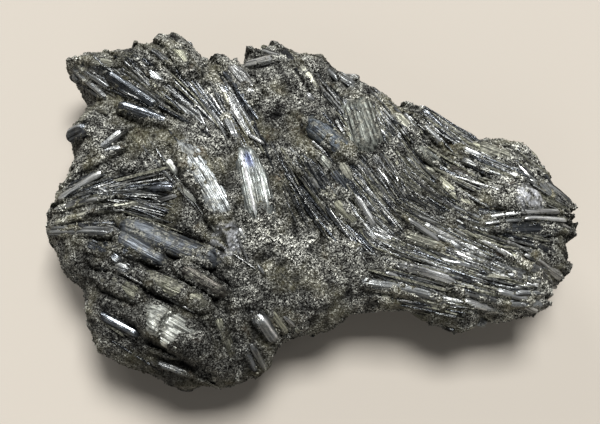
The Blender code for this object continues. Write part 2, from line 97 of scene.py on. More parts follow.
SOUTH_RIM = (
    (3.7, -6.7), (1.8, -6.9), (1.0, -7.6), (0.2, -8.1), (-1.5, -8.3), (-2.5, -8.7), (-2.9, -9.4),
    (-3.3, -10.2), (-3.8, -10.7), (-5.2, -11.2), (-6.3, -11.5), (-7.2, -11.3), (-8.3, -11.6),
    (-9.3, -11.3), (-10.2, -10.7), (-12.0, -10.1), (-13.5, -9.3),
)
WEST_RIM = (
    (-14.2, -7.7), (-14.3, -6.7), (-14.5, -5.5), (-15.5, -4.8), (-15.9, -4.1), (-16.1, -3.4),
    (-16.7, -2.5), (-16.8, -1.2), (-16.5, -0.7), (-16.4, 0.3), (-15.8, 1.0), (-15.5, 2.0),
    (-15.2, 2.4), (-15.5, 3.3), (-15.6, 4.6), (-15.0, 5.4), (-14.4, 6.0), (-15.0, 7.0),
    (-15.4, 7.8),
)
RIM = NORTH_RIM + NORTH_EAST_RIM + SOUTH_EAST_RIM + SOUTH_RIM + WEST_RIM

Array = np.ndarray
Dice = np.random.Generator
Place = tuple[float, float]
Colour = tuple[float, float, float]
Material = bpy.types.Material
Mesh = bpy.types.Mesh
Node = bpy.types.Node
Socket = bpy.types.NodeSocket
Thing = bpy.types.Object
Value = Union[Socket, float, Colour, None]  # None leaves a socket as it is


class Sheet(Enum):
    """The sheets of the noise field: each use reads one of its own."""

    RIM_EDGE = 3.0
    RIM_LEVEL = 5.0
    TOP_CHIPS = 17.3
    TOP_LUMPS = 31.7
    UNDER_CHIPS = 34.6
    UNDER_LUMPS = 63.4
    COVER = 41.0
    FINE_COVER = 43.0
    GAPS = 47.0
    GRIT = 51.0
    CLUMPS = 61.0
    PITS = 71.0
    RIBS = 81.0
    MOUNDS = 91.0
    FINE_MOUNDS = 93.0


class Tone(Enum):
    """The finishes of single cylinders: a colour, how polished it is, and how bare of crust."""

    SILVER = (0.27, 0.275, 0.27, 0.8, 0.1)
    STEEL = (0.13, 0.135, 0.135, 0.8, 0.0)
    PALE = (0.17, 0.17, 0.14, 0.4, 0.0)
    CHALK = (0.33, 0.34, 0.31, 0.45, 0.0)
    SCALY = (0.17, 0.18, 0.18, 0.5, 0.1)
    MILKY = (0.2, 0.215, 0.205, 0.55, 0.15)
    SLATY = (0.085, 0.09, 0.08, 0.35, 0.05)
    DULL = (0.05, 0.058, 0.066, 0.5, 0.05)
    DUSKY = (0.073, 0.08, 0.088, 0.4, 0.05)
    OLIVE = (0.108, 0.108, 0.083, 0.4, -0.22)
    DARK = (0.055, 0.06, 0.066, 1.0, 0.05)
    BROWN = (0.042, 0.039, 0.034, 0.45, -0.12)

    @property
    def colour(self) -> Colour:
        """The colour alone."""
        return self.value[:3]

    @property
    def polish(self) -> float:
        """How polished the surface is, from 0 to 1."""
        return self.value[3]

    @property
    def bareness(self) -> float:
        """How far the crust of grains stays off it."""
        return self.value[4]


(SILVER, STEEL, PALE, CHALK, SCALY, MILKY, SLATY, DULL, DUSKY, OLIVE, DARK, BROWN) = Tone


@dataclass(frozen=True)
class Area:
    """A round area of the top face, where something changes by an amount.

    That is a hill's height in millimetres, or the factor of painted light and shade, partly real
    staining, that lightens or darkens a patch, which is 1 where nothing changes.
    """

    name: str
    x: float
    y: float
    radius: float
    amount: float

    def fading(self, x: Array, y: Array) -> Array:
        """Return 1 in the middle, falling softly to 0 outside."""
        return np.exp(-((x - self.x) ** 2 + (y - self.y) ** 2) / self.radius**2)


@dataclass(frozen=True)
class Crystal:
    """One cylinder lying on the top face, from one end to the other as seen from above."""

    name: str
    start: Place
    end: Place
    radius: float
    proud: float = 0.55
    tone: Tone = STEEL


@dataclass(frozen=True)
class Bundle:
    """Smaller crystals that grew side by side around one heading."""

    name: str
    x: float
    y: float
    heading: float
    spread: float
    along: float
    across: float
    count: int
    length: float
    radius: float


HILLS = tuple(Area(*row) for row in (
    ("centre rise", -5.0, 0.5, 4.0, 0.9),
    ("grainy mound", -3.0, -4.4, 2.2, 0.6),
    ("east knuckle", 12.0, -0.4, 1.6, 0.8),
    ("south-west barrel seat", -8.5, -8.5, 2.0, 0.6),
    ("north bump", -8.8, 8.3, 1.8, 0.6),
    ("north shoulder", -2.5, 8.2, 2.5, 0.5),
    ("middle ridge", 2.0, 3.5, 2.5, 0.5),
    ("west groove", -10.3, -0.2, 1.6, -0.9),
    ("north hollow", 0.6, 7.2, 1.3, -0.9),
    ("north-east hollow", 8.0, 1.3, 1.8, -0.9),
    ("south pocket", -5.0, -9.3, 1.3, -1.1),
    ("middle valley", -1.8, -1.2, 1.8, -0.6),
    ("north-west valley", -12.0, 3.2, 1.8, -0.5),
    ("south-west step", -12.5, -8.0, 2.0, -0.7),
))

LARGE_CRYSTALS = tuple(Crystal(*row) for row in (
    ("silver barrel", (-8.8, 2.1), (-6.0, -2.7), 0.92, 0.6, SCALY),
    ("blue barrel", (-5.3, 2.5), (-4.1, -2.8), 1.0, 0.55, MILKY),
    ("split barrel", (-10.9, -7.6), (-7.1, -9.8), 1.08, 0.56, CHALK),
    ("dark stub", (-1.4, 4.0), (1.6, 1.5), 0.78, 0.6, DULL),
    ("pale slab", (1.5, 5.9), (2.6, 2.0), 1.0, 0.55, SLATY),
    ("east knuckle", (10.2, -0.5), (13.2, -0.7), 0.96, 0.5, SILVER),
    ("long dark cylinder", (-12.4, -2.3), (-6.4, -4.8), 0.66, 0.6, DUSKY),
    ("lower dark cylinder", (-9.2, -4.8), (-6.0, -6.7), 0.54, 0.56, BROWN),
    ("side by side cylinder", (-12.7, -3.0), (-9.5, -4.8), 0.51, 0.54, DUSKY),
    ("top bump cylinder", (-9.5, 8.8), (-7.9, 6.5), 0.58, 0.56, OLIVE),
    ("peeling cylinder", (-6.0, 7.9), (-4.3, 5.3), 0.57, 0.58, SILVER),
    ("north-west upper", (-13.4, 7.1), (-10.2, 4.7), 0.36, 0.66, DARK),
    ("north-west lower", (-12.7, 5.0), (-9.3, 3.5), 0.43, 0.62, DARK),
    ("crusted cylinder", (-10.9, -5.6), (-7.0, -7.4), 0.57, 0.56, OLIVE),
))
MEDIUM_CRYSTALS = tuple(Crystal(*row) for row in (
    ("tip rod 1", (-15.9, 8.4), (-13.6, 5.8), 0.18, 0.55, DARK),
    ("tip rod 2", (-15.6, 8.4), (-13.3, 5.7), 0.2, 0.58),
    ("tip rod 3", (-15.2, 8.2), (-13.0, 6.1), 0.2, 0.58),
    ("north-west ledge", (-14.8, 8.3), (-12.4, 7.4), 0.32, 0.5, PALE),
    ("fan rib", (-12.6, 8.1), (-9.8, 5.3), 0.15, 0.9),
    ("fan middle rib", (-11.7, 8.0), (-9.5, 5.7), 0.15, 0.8, PALE),
    ("fan outer rib", (-10.8, 8.7), (-9.4, 7.3), 0.22, 0.58),
    ("round knob", (-15.7, 3.9), (-14.4, 3.4), 0.52, 0.66, DARK),
    ("north rod", (-1.9, 8.4), (-0.5, 6.0), 0.36, 0.6, PALE),
    ("north dark rod", (-6.6, 7.5), (-4.6, 4.8), 0.23, 0.55, DARK),
    ("north greenish rod", (-5.3, 8.0), (-4.8, 6.2), 0.25, 0.55, PALE),
    ("slab rib", (1.0, 5.7), (1.7, 3.1), 0.23, 0.58),
    ("stub side rod", (0.9, 3.7), (2.3, 1.8), 0.23, 0.56, OLIVE),
    ("middle band", (-0.8, 1.7), (1.0, 0.0), 0.33, 0.56, SLATY),
    ("middle strip", (0.0, 2.3), (1.5, 0.1), 0.36, 0.58, PALE),
    ("middle strip end", (1.3, 0.0), (2.9, -2.5), 0.27, 0.56, SILVER),
    ("middle sheet", (-0.8, 0.0), (2.4, -3.0), 0.45, 0.5, OLIVE),
    ("bright cap rod", (-6.4, 4.4), (-5.5, 2.4), 0.35, 0.55),
    ("north-east lath", (4.2, 5.0), (5.7, 3.0), 0.41, 0.55, PALE),
    ("north-east blade", (5.3, 2.9), (7.4, 1.7), 0.39, 0.58, SLATY),
    ("north-east edge rod", (5.4, 5.0), (7.4, 3.0), 0.25, 0.56),
    ("north-east dark rib", (6.1, 5.5), (7.7, 3.9), 0.25, 0.56, DARK),
    ("flat pale lath", (9.5, 3.2), (11.6, 2.0), 0.48, 0.52, PALE),
    ("outer knob", (11.7, 3.3), (13.5, 2.4), 0.41, 0.54, OLIVE),
    ("far rod", (11.0, 2.4), (14.3, -0.2), 0.29, 0.6),
    ("olive rod", (6.6, 1.2), (9.2, -1.6), 0.41, 0.56, OLIVE),
    ("brown rod", (7.4, 1.8), (9.5, 0.9), 0.33, 0.56, BROWN),
    ("east upper rod", (9.1, -1.75), (12.0, -1.4), 0.17, 1.3, SILVER),
    ("east upper rod end", (11.7, -1.42), (14.5, -1.05), 0.17, 1.3, SILVER),
    ("east middle rod", (9.1, -2.15), (12.1, -1.8), 0.18, 1.2),
    ("east middle rod end", (11.8, -1.82), (15.0, -1.5), 0.18, 1.2, SILVER),
    ("east lower rod", (9.9, -2.6), (14.5, -2.2), 0.34, 0.75, DARK),
    ("west long rod", (-16.7, -2.2), (-12.5, -3.0), 0.41, 0.6),
    ("west pale rod", (-16.2, -2.0), (-12.9, -1.5), 0.2, 0.7, PALE),
    ("west olive rod", (-16.3, -1.1), (-13.2, -0.9), 0.2, 0.75, SILVER),
    ("west middle rod", (-15.0, -2.4), (-12.5, -2.4), 0.24, 0.6, DARK),
    ("west inner rod", (-14.0, -1.7), (-11.2, -1.1), 0.22, 0.7, PALE),
    ("west ridge", (-16.0, -0.5), (-13.4, 0.7), 0.22, 0.7, SILVER),
    ("south-west rod", (-13.4, -5.4), (-10.9, -6.8), 0.54, 0.52, OLIVE),
    ("south-west bright rod", (-13.4, -7.5), (-11.0, -8.8), 0.3, 0.52, DARK),
    ("south strip", (-6.7, -7.8), (-5.7, -10.1), 0.34, 0.54, OLIVE),
    ("south bright rod", (-4.4, -7.6), (-3.1, -8.9), 0.5, 0.58, STEEL),
    ("south olive rod", (-3.6, -7.3), (-2.4, -8.4), 0.34, 0.55, OLIVE),
    ("bay rod", (1.8, -5.4), (7.3, -6.3), 0.34, 0.56),
    ("bay upper rod", (4.0, -4.5), (8.0, -5.5), 0.32, 0.58, SILVER),
    ("bay pale foot", (3.2, -6.2), (4.5, -6.4), 0.27, 0.55, PALE),
    ("fan pale rod", (4.1, -2.8), (7.4, -3.7), 0.36, 0.54, PALE),
    ("fan bright rod", (8.8, -2.9), (11.4, -4.4), 0.2, 0.62, SILVER),
    ("fan lower rod", (7.6, -5.9), (10.9, -6.6), 0.28, 0.56),
    ("foot rod", (8.3, -6.6), (10.6, -6.9), 0.25, 0.58, SILVER),
))
SMALL_CRYSTALS = tuple(Crystal(*row) for row in (
    ("pale block", (-12.8, 8.3), (-12.3, 7.9), 0.2, 0.6, PALE),
    ("north-west thin rod", (-14.7, 5.6), (-13.3, 4.5), 0.14, 0.65, PALE),
    ("head flake", (-4.9, 2.95), (-3.95, 2.3), 0.13, 1.2, SILVER),
    ("striated rib 1", (-9.4, 5.5), (-8.3, 4.1), 0.13, 0.65),
    ("striated rib 2", (-9.2, 5.4), (-7.9, 4.0), 0.13, 0.65, SILVER),
    ("striated rib 3", (-8.8, 5.1), (-7.6, 3.5), 0.13, 0.6),
    ("north needle", (-8.1, 5.1), (-7.3, 3.0), 0.1, 0.8, SILVER),
    ("north stub", (-6.4, 5.7), (-6.0, 4.7), 0.17, 0.65, PALE),
    ("cap streak", (-5.9, 4.6), (-5.2, 3.6), 0.17, 0.65, SILVER),
    ("north pale block", (-1.3, 5.9), (-0.7, 5.5), 0.19, 0.6, SILVER),
    ("north-east ledge", (0.3, 8.2), (1.1, 7.2), 0.2, 0.5),
    ("middle needle", (-1.3, 0.4), (-0.6, -0.4), 0.11, 0.75, SILVER),
    ("middle thin rib", (-2.4, 1.2), (-1.8, 0.5), 0.1, 0.7),
    ("hollow needle", (2.8, 1.4), (3.7, -0.1), 0.13, 0.7, SILVER),
    ("double needle", (3.5, 2.4), (4.2, 0.0), 0.12, 0.7, SILVER),
    ("needle block", (3.5, 2.6), (3.6, 1.8), 0.17, 0.6, PALE),
    ("north-east pair", (4.7, 2.7), (5.4, 1.4), 0.15, 0.65, SILVER),
    ("north-east edge", (5.0, 5.2), (5.7, 3.5), 0.15, 0.6),
    ("light band", (5.9, 1.8), (6.8, 1.3), 0.19, 0.55, PALE),
    ("white flake", (9.1, 2.0), (9.8, 1.7), 0.13, 0.75, SILVER),
    ("rim rod", (7.8, 4.2), (9.4, 3.3), 0.19, 0.55, DARK),
    ("outer needle", (11.0, 2.6), (12.5, 0.9), 0.11, 0.7, SILVER),
    ("outer needle end", (12.6, 0.9), (14.4, -0.2), 0.11, 0.7, SILVER),
    ("knuckle flake", (11.1, 1.1), (11.7, 0.8), 0.13, 0.7, SILVER),
    ("fan blade 1", (4.6, 0.3), (6.1, -0.6), 0.11, 0.75, SILVER),
    ("fan blade 2", (6.1, -0.6), (6.9, -1.1), 0.1, 0.7),
    ("fan blade 3", (7.6, -1.2), (8.9, -2.3), 0.11, 0.7),
    ("fan bright blade", (4.9, -1.6), (7.0, -2.2), 0.16, 0.7, SILVER),
    ("fan blade 4", (7.0, -2.3), (8.4, -2.8), 0.13, 0.7, SILVER),
    ("fan blade 5", (2.3, -2.6), (3.8, -3.3), 0.15, 0.6),
    ("fan blade 6", (11.9, -4.0), (14.6, -4.6), 0.16, 0.65, SILVER),
    ("fan blade 7", (12.3, -4.9), (15.1, -5.0), 0.15, 0.65),
    ("fan blade 8", (10.2, -4.6), (12.2, -5.2), 0.15, 0.65),
    ("fan blade 9", (9.4, -5.1), (11.2, -5.3), 0.18, 0.6, PALE),
    ("fan blade 10", (11.3, -5.2), (13.1, -5.4), 0.15, 0.6),
    ("fan blade 11", (11.3, -5.8), (12.9, -5.6), 0.15, 0.65, SILVER),
    ("fan rod end", (13.7, -5.4), (15.3, -5.0), 0.17, 0.6, SILVER),
    ("fan blade 12", (6.0, -4.1), (8.9, -4.7), 0.18, 0.62),
    ("fan blade 13", (6.8, -3.4), (8.9, -4.5), 0.17, 0.65, SILVER),
    ("white edge", (3.4, -5.0), (4.3, -5.2), 0.13, 0.8, SILVER),
    ("white edge end", (4.3, -5.2), (5.2, -5.3), 0.11, 0.75, SILVER),
    ("foot blade", (11.9, -6.6), (13.3, -6.9), 0.22, 0.6, SILVER),
    ("pale flank 1", (-9.7, 1.4), (-9.0, 0.4), 0.25, 0.5, CHALK),
    ("pale flank 2", (-8.6, -0.4), (-7.7, -1.3), 0.28, 0.5, CHALK),
    ("pale flank 3", (-7.6, -1.6), (-7.0, -2.3), 0.27, 0.5, CHALK),
    ("pale grain", (-7.0, -2.4), (-6.7, -2.9), 0.23, 0.6, CHALK),
    ("barrel tail", (-6.2, -2.2), (-5.4, -2.9), 0.19, 0.6),
    ("barrel tail end", (-5.5, -2.8), (-5.0, -3.5), 0.15, 0.6, SILVER),
    ("west flake", (-13.7, -0.2), (-13.0, -0.6), 0.13, 0.7, SILVER),
    ("groove rod", (-10.7, -1.0), (-8.9, -0.7), 0.15, 0.9, SILVER),
    ("groove floor", (-11.1, -0.1), (-9.0, -0.2), 0.29, 0.5, DARK),
    ("south needle", (-2.6, -7.6), (-1.9, -8.0), 0.13, 0.75, SILVER),
    ("centre needle", (-4.3, -4.9), (-3.9, -5.4), 0.1, 0.7),
    ("south pale grain", (-1.8, -8.1), (-1.5, -8.2), 0.15, 0.6, PALE),
))

BUNDLES = tuple(Bundle(*row) for row in (
    ("north-west slope", -12.3, 6.3, -48, 7, 1.2, 1.6, 2, 2.2, 0.24),
    ("north bump", -9.9, 6.4, -50, 8, 1.2, 1.6, 3, 2.0, 0.26),
    ("north middle", -3.2, 8.6, -55, 14, 1.6, 2.4, 3, 2.2, 0.3),
    ("north edge", 1.6, 7.6, -52, 10, 1.2, 1.8, 2, 2.0, 0.3),
    ("middle sheets", 0.4, -0.9, -52, 5, 2.4, 2.4, 4, 2.8, 0.24),
    ("north-east comb", 3.9, 2.6, -56, 6, 1.6, 1.2, 3, 2.4, 0.24),
    ("east shoulder", 9.8, 2.2, -34, 9, 2.2, 1.8, 3, 2.4, 0.26),
    ("east end", 14.4, 1.0, -32, 10, 1.4, 1.8, 3, 2.2, 0.26),
    ("south-east fan", 7.2, -2.2, -28, 5, 3.6, 3.0, 7, 3.2, 0.24),
    ("south-east end", 12.6, -4.4, -12, 6, 2.8, 2.4, 6, 2.8, 0.24),
    ("south-east foot", 11.6, -6.2, -8, 7, 2.4, 0.9, 3, 2.4, 0.24),
    ("west slope", -13.4, 2.0, 18, 10, 1.4, 1.4, 3, 2.2, 0.28),
    ("south-west slope", -13.0, -4.2, -24, 7, 1.6, 1.4, 3, 2.6, 0.32),
    ("south wall", -9.0, -10.5, -30, 9, 2.8, 0.8, 2, 2.2, 0.18),
    ("south tip", -4.6, -9.9, -45, 12, 1.4, 1.2, 2, 1.9, 0.24),
))


@dataclass(frozen=True)
class Patch:
    """A round patch of the top face."""

    x: float
    y: float
    radius: float

    def nearness(self, x: Array, y: Array) -> Array:
        """Return 1 well inside the patch, falling to 0 outside it."""
        gap = np.hypot(x - self.x, y - self.y) / self.radius
        return np.clip(4.2 - 4.0 * gap, 0.0, 1.0)


GRAINY_PATCHES = tuple(Patch(*row) for row in (
    (-12.4, 3.2, 2.2), (-2.2, -4.8, 3.6), (-2.4, 5.4, 3.0), (-6.4, 1.2, 1.5), (-8.0, 3.6, 1.2),
    (-11.0, 1.4, 1.4), (-14.6, -4.4, 1.8), (-8.0, -6.6, 1.6), (-5.6, -5.2, 2.0), (-6.8, 7.0, 1.3),
    (2.4, -5.6, 2.0), (7.8, 3.0, 1.1), (9.6, 0.4, 1.3), (11.9, -0.4, 1.9), (13.2, -3.2, 1.2),
))
BLADED_PATCHES = tuple(Patch(*row) for row in (
    (-14.4, 7.0, 1.6), (-11.8, 6.8, 1.7), (-8.2, 4.6, 1.4), (-5.6, 4.4, 0.9), (-1.0, -0.4, 1.8),
    (1.0, -0.8, 2.2), (2.8, 0.4, 2.2), (1.0, 4.6, 1.4), (4.6, 2.2, 2.6), (7.0, 4.0, 2.2),
    (-14.6, -1.0, 2.0), (-11.6, -0.6, 1.4), (-13.0, -7.8, 1.2), (7.5, -3.2, 4.6),
    (12.2, -4.4, 4.0), (10.4, 2.0, 2.6), (13.6, 0.8, 2.2),
))
SHEEN_PATCHES = tuple(Patch(*row) for row in (
    (12.3, -0.6, 1.1), (-6.2, -3.6, 1.0),
))


# Painted light and shade, partly real staining: below 1 the mass and what lies on it are darkened
# in hollows, gaps and under overhangs, where shade falls; above 1 they are lightened on rims and
# mounds, where light falls.
SHADE_AND_STAIN_AREAS = tuple(Area(*row) for row in (
    ("south-west", -10.5, -7.0, 4.5, 0.55),
    ("west band", -13.7, -4.7, 2.4, 0.55),
    ("west groove", -12.4, 0.3, 1.3, 0.55),
    ("south pocket", -5.8, -9.8, 2.2, 0.5),
    ("south wall", -9.4, -10.6, 1.6, 0.42),
    ("beside the silver barrel", -9.0, -1.8, 1.3, 0.6),
    ("north of the blue barrel", -4.0, 3.7, 1.0, 0.65),
    ("bay overhang", 7.9, -7.6, 1.5, 0.55),
    ("foot of the mound", -3.9, -7.3, 0.9, 0.65),
    ("brown hollow", -7.1, -5.9, 1.4, 0.55),
    ("north middle", -2.6, 3.8, 1.7, 0.6),
    ("north hollow", 0.1, 7.3, 1.2, 0.6),
    ("beside the blue barrel", -2.4, -0.7, 1.3, 0.55),
    ("south of the mound", -2.4, -5.6, 0.9, 0.6),
    ("inner hollow", -4.8, -5.2, 0.9, 0.6),
    ("bay edge", 0.2, -7.2, 1.5, 0.75),
    ("north-east hollow", 4.3, -0.4, 1.2, 0.65),
    ("east wedge", 7.6, -1.4, 1.6, 0.5),
    ("east tip", 15.6, -3.0, 1.1, 0.6),
    ("first dark gap", 2.8, 1.6, 0.9, 0.6),
    ("second dark gap", 4.3, 0.6, 1.0, 0.55),
    ("third dark gap", 6.2, -0.3, 1.2, 0.5),
    ("end of the dark gaps", 9.6, -3.1, 1.2, 0.6),
    ("below the east wedge", 6.5, -2.6, 0.9, 0.6),
    ("north-west ridge", -12.4, 8.2, 1.2, 0.75),
    ("south wall rods", -9.4, -10.7, 1.3, 0.65),
    ("beside the slab", 2.4, 0.7, 0.8, 0.65),
    ("south-west hollow", -11.6, -8.3, 0.8, 0.6),
    ("south-east hollow", 13.8, -3.4, 1.0, 0.65),
    ("pale north-west", -6.8, 5.7, 1.7, 1.45),
    ("pale centre", -5.8, 4.2, 1.3, 1.4),
    ("below the blue barrel", -4.0, -3.0, 1.3, 1.7),
    ("grainy mound", -2.7, -4.2, 1.2, 1.65),
    ("north rim", -9.6, 9.0, 1.6, 1.35),
    ("upper west rim", -15.4, 0.0, 1.8, 1.5),
    ("lower west rim", -15.6, -2.2, 1.5, 1.5),
    ("south-east foot", 12.0, -6.4, 2.2, 1.45),
    ("bay foot", 7.5, -6.2, 2.2, 1.4),
    ("north-east rim", 11.6, 2.8, 2.0, 1.35),
    ("grey south", 0.2, -5.4, 1.5, 1.35),
    ("flank of the silver barrel", -8.3, -0.1, 0.8, 1.9),
    ("foot of the silver barrel", -7.0, -2.6, 1.0, 1.5),
    ("long cylinder end", -7.6, -4.4, 1.2, 1.5),
    ("west notch", -15.0, 3.8, 1.2, 1.5),
    ("south-west rim", -14.2, -7.6, 1.2, 1.6),
    ("north-west tip", -15.6, 8.4, 1.1, 1.6),
    ("bay pale foot", 3.8, -6.5, 1.2, 1.5),
    ("east tip light", 14.5, 0.6, 1.6, 1.45),
    ("between the east rods", 11.8, -1.9, 1.2, 0.6),
    ("north-west top", -12.0, 6.6, 3.0, 0.68),
    ("north face", -3.0, 6.4, 3.0, 1.15),
    ("south-east face", 11.0, -4.6, 3.0, 1.1),
    ("east face", 11.6, 1.0, 2.4, 1.25),
))


def shade_at(x: Array, y: Array) -> Array:
    """Return the painted light and shade at places, with the mass's own staining: 1 leaves the
    colour as it is.
    """
    total = np.zeros(np.shape(x))
    for shaded_area in SHADE_AND_STAIN_AREAS:
        total += math.log(shaded_area.amount) * shaded_area.fading(x, y)
    return np.exp(total)


def nearest_patch(patches: Sequence[Patch], x: Array, y: Array) -> Array:
    """Return how far inside any of some patches places are, from 0 to 1."""
    return np.max([patch.nearness(x, y) for patch in patches], axis=0)


def fibrous(x: Array, y: Array) -> Array:
    """Return where blades take the place of grains, from 0 to 1."""
    return nearest_patch(BLADED_PATCHES, x, y) * (1.0 - nearest_patch(GRAINY_PATCHES, x, y))


def noise_at(x: Array, y: Array, sheet: Sheet, size: float) -> Array:
    """Return smooth noise at many places.

    Args:
        x, y: The places, along and across.
        sheet: Which sheet of the noise is read.
        size: How large its lumps are, in millimetres.

    Returns:
        About -1 to 1 at each place.
    """
    level = sheet.value / size
    pairs = zip((x / size).tolist(), (y / size).tolist())
    return np.array([noise.noise((a, b, level)) for a, b in pairs])


class Graph:
    """A node tree that is written as nested calls."""

    def __init__(self, tree: bpy.types.NodeTree) -> None:
        """Start on a tree.

        Args:
            tree: The tree that the nodes are added to.
        """
        self.tree = tree

    def add(self, kind: str, values: Optional[dict] = None, **settings: str) -> Node:
        """Add a node.

        Args:
            kind: The node's type name.
            values: Sockets by name or number, with a value or another node's output.
            **settings: The node's own properties.

        Returns:
            The new node.
        """
        node = self.tree.nodes.new(kind)
        for name, setting in settings.items():
            setattr(node, name, setting)
        for key, value in (values or {}).items():
            if isinstance(value, Socket):
                self.tree.links.new(value, node.inputs[key])
            elif value is not None:
                node.inputs[key].default_value = value
        return node

    def math(self, operation: str, first: Value, second: Value = None,
             third: Value = None) -> Socket:
        """Return the output of a Math node with up to three values or sockets."""
        kind = "ShaderNodeMath"
        return self.add(kind, {0: first, 1: second, 2: third}, operation=operation).outputs[0]

    def vector(self, operation: str, first: Value, second: Value = None,
               scale: Value = None) -> Socket:
        """Return the output of a Vector Math node."""
        values = {0: first, 1: second}
        if scale is not None:
            values["Scale"] = scale
        return self.add("ShaderNodeVectorMath", values, operation=operation).outputs[0]

    def ramp(self, value: Socket, low: float, high: float, start: float = 0.0,
             end: float = 1.0) -> Socket:
        """Return a value clamped and stretched from low..high to start..end."""
        values = {"Value": value, "From Min": low, "From Max": high, "To Min": start,
                  "To Max": end}
        return self.add("ShaderNodeMapRange", values).outputs[0]

    def mix(self, share: Value, first: Value, second: Value) -> Socket:
        """Return the colour between two colours.

        Args:
            share: How much of the second there is, from 0 to 1.
            first: A colour or a socket.
            second: The same.

        Returns:
            The colour.
        """
        node = self.add("ShaderNodeMix", {0: share}, data_type="RGBA")
        for socket, value in ((node.inputs[6], first), (node.inputs[7], second)):
            if isinstance(value, Socket):
                self.tree.links.new(value, socket)
            else:
                socket.default_value = (*value, 1.0)
        return node.outputs[2]

    def noise(self, place: Socket, size: float, detail: float = 2.0) -> Socket:
        """Return a noise value whose lumps have a size in metres."""
        values = {"Vector": place, "Scale": 1.0 / size, "Detail": detail}
        return self.add("ShaderNodeTexNoise", values).outputs["Fac"]

    def cells(self, place: Socket, size: float) -> Socket:
        """Return the random colour of each cell, whose size is in metres."""
        values = {"Vector": place, "Scale": 1.0 / size}
        return self.add("ShaderNodeTexVoronoi", values).outputs["Color"]

    def attribute(self, name: str) -> Node:
        """Return the node that reads a mesh attribute in a material."""
        return self.add("ShaderNodeAttribute", attribute_name=name)

    def finish(self, shader: Node, height: Socket, strength: Value, depth: float,
               sockets: dict[str, Socket]) -> None:
        """Join a shader to what drives it.

        Args:
            shader: The Principled shader.
            height: The relief that the light is bent by.
            strength: How strongly it is.
            depth: The relief's height, in metres.
            sockets: The other inputs by name.
        """
        values = {"Height": height, "Strength": strength, "Distance": depth}
        bump = self.add("ShaderNodeBump", values).outputs[0]
        for name, socket in {**sockets, "Normal": bump}.items():
            self.tree.links.new(socket, shader.inputs[name])


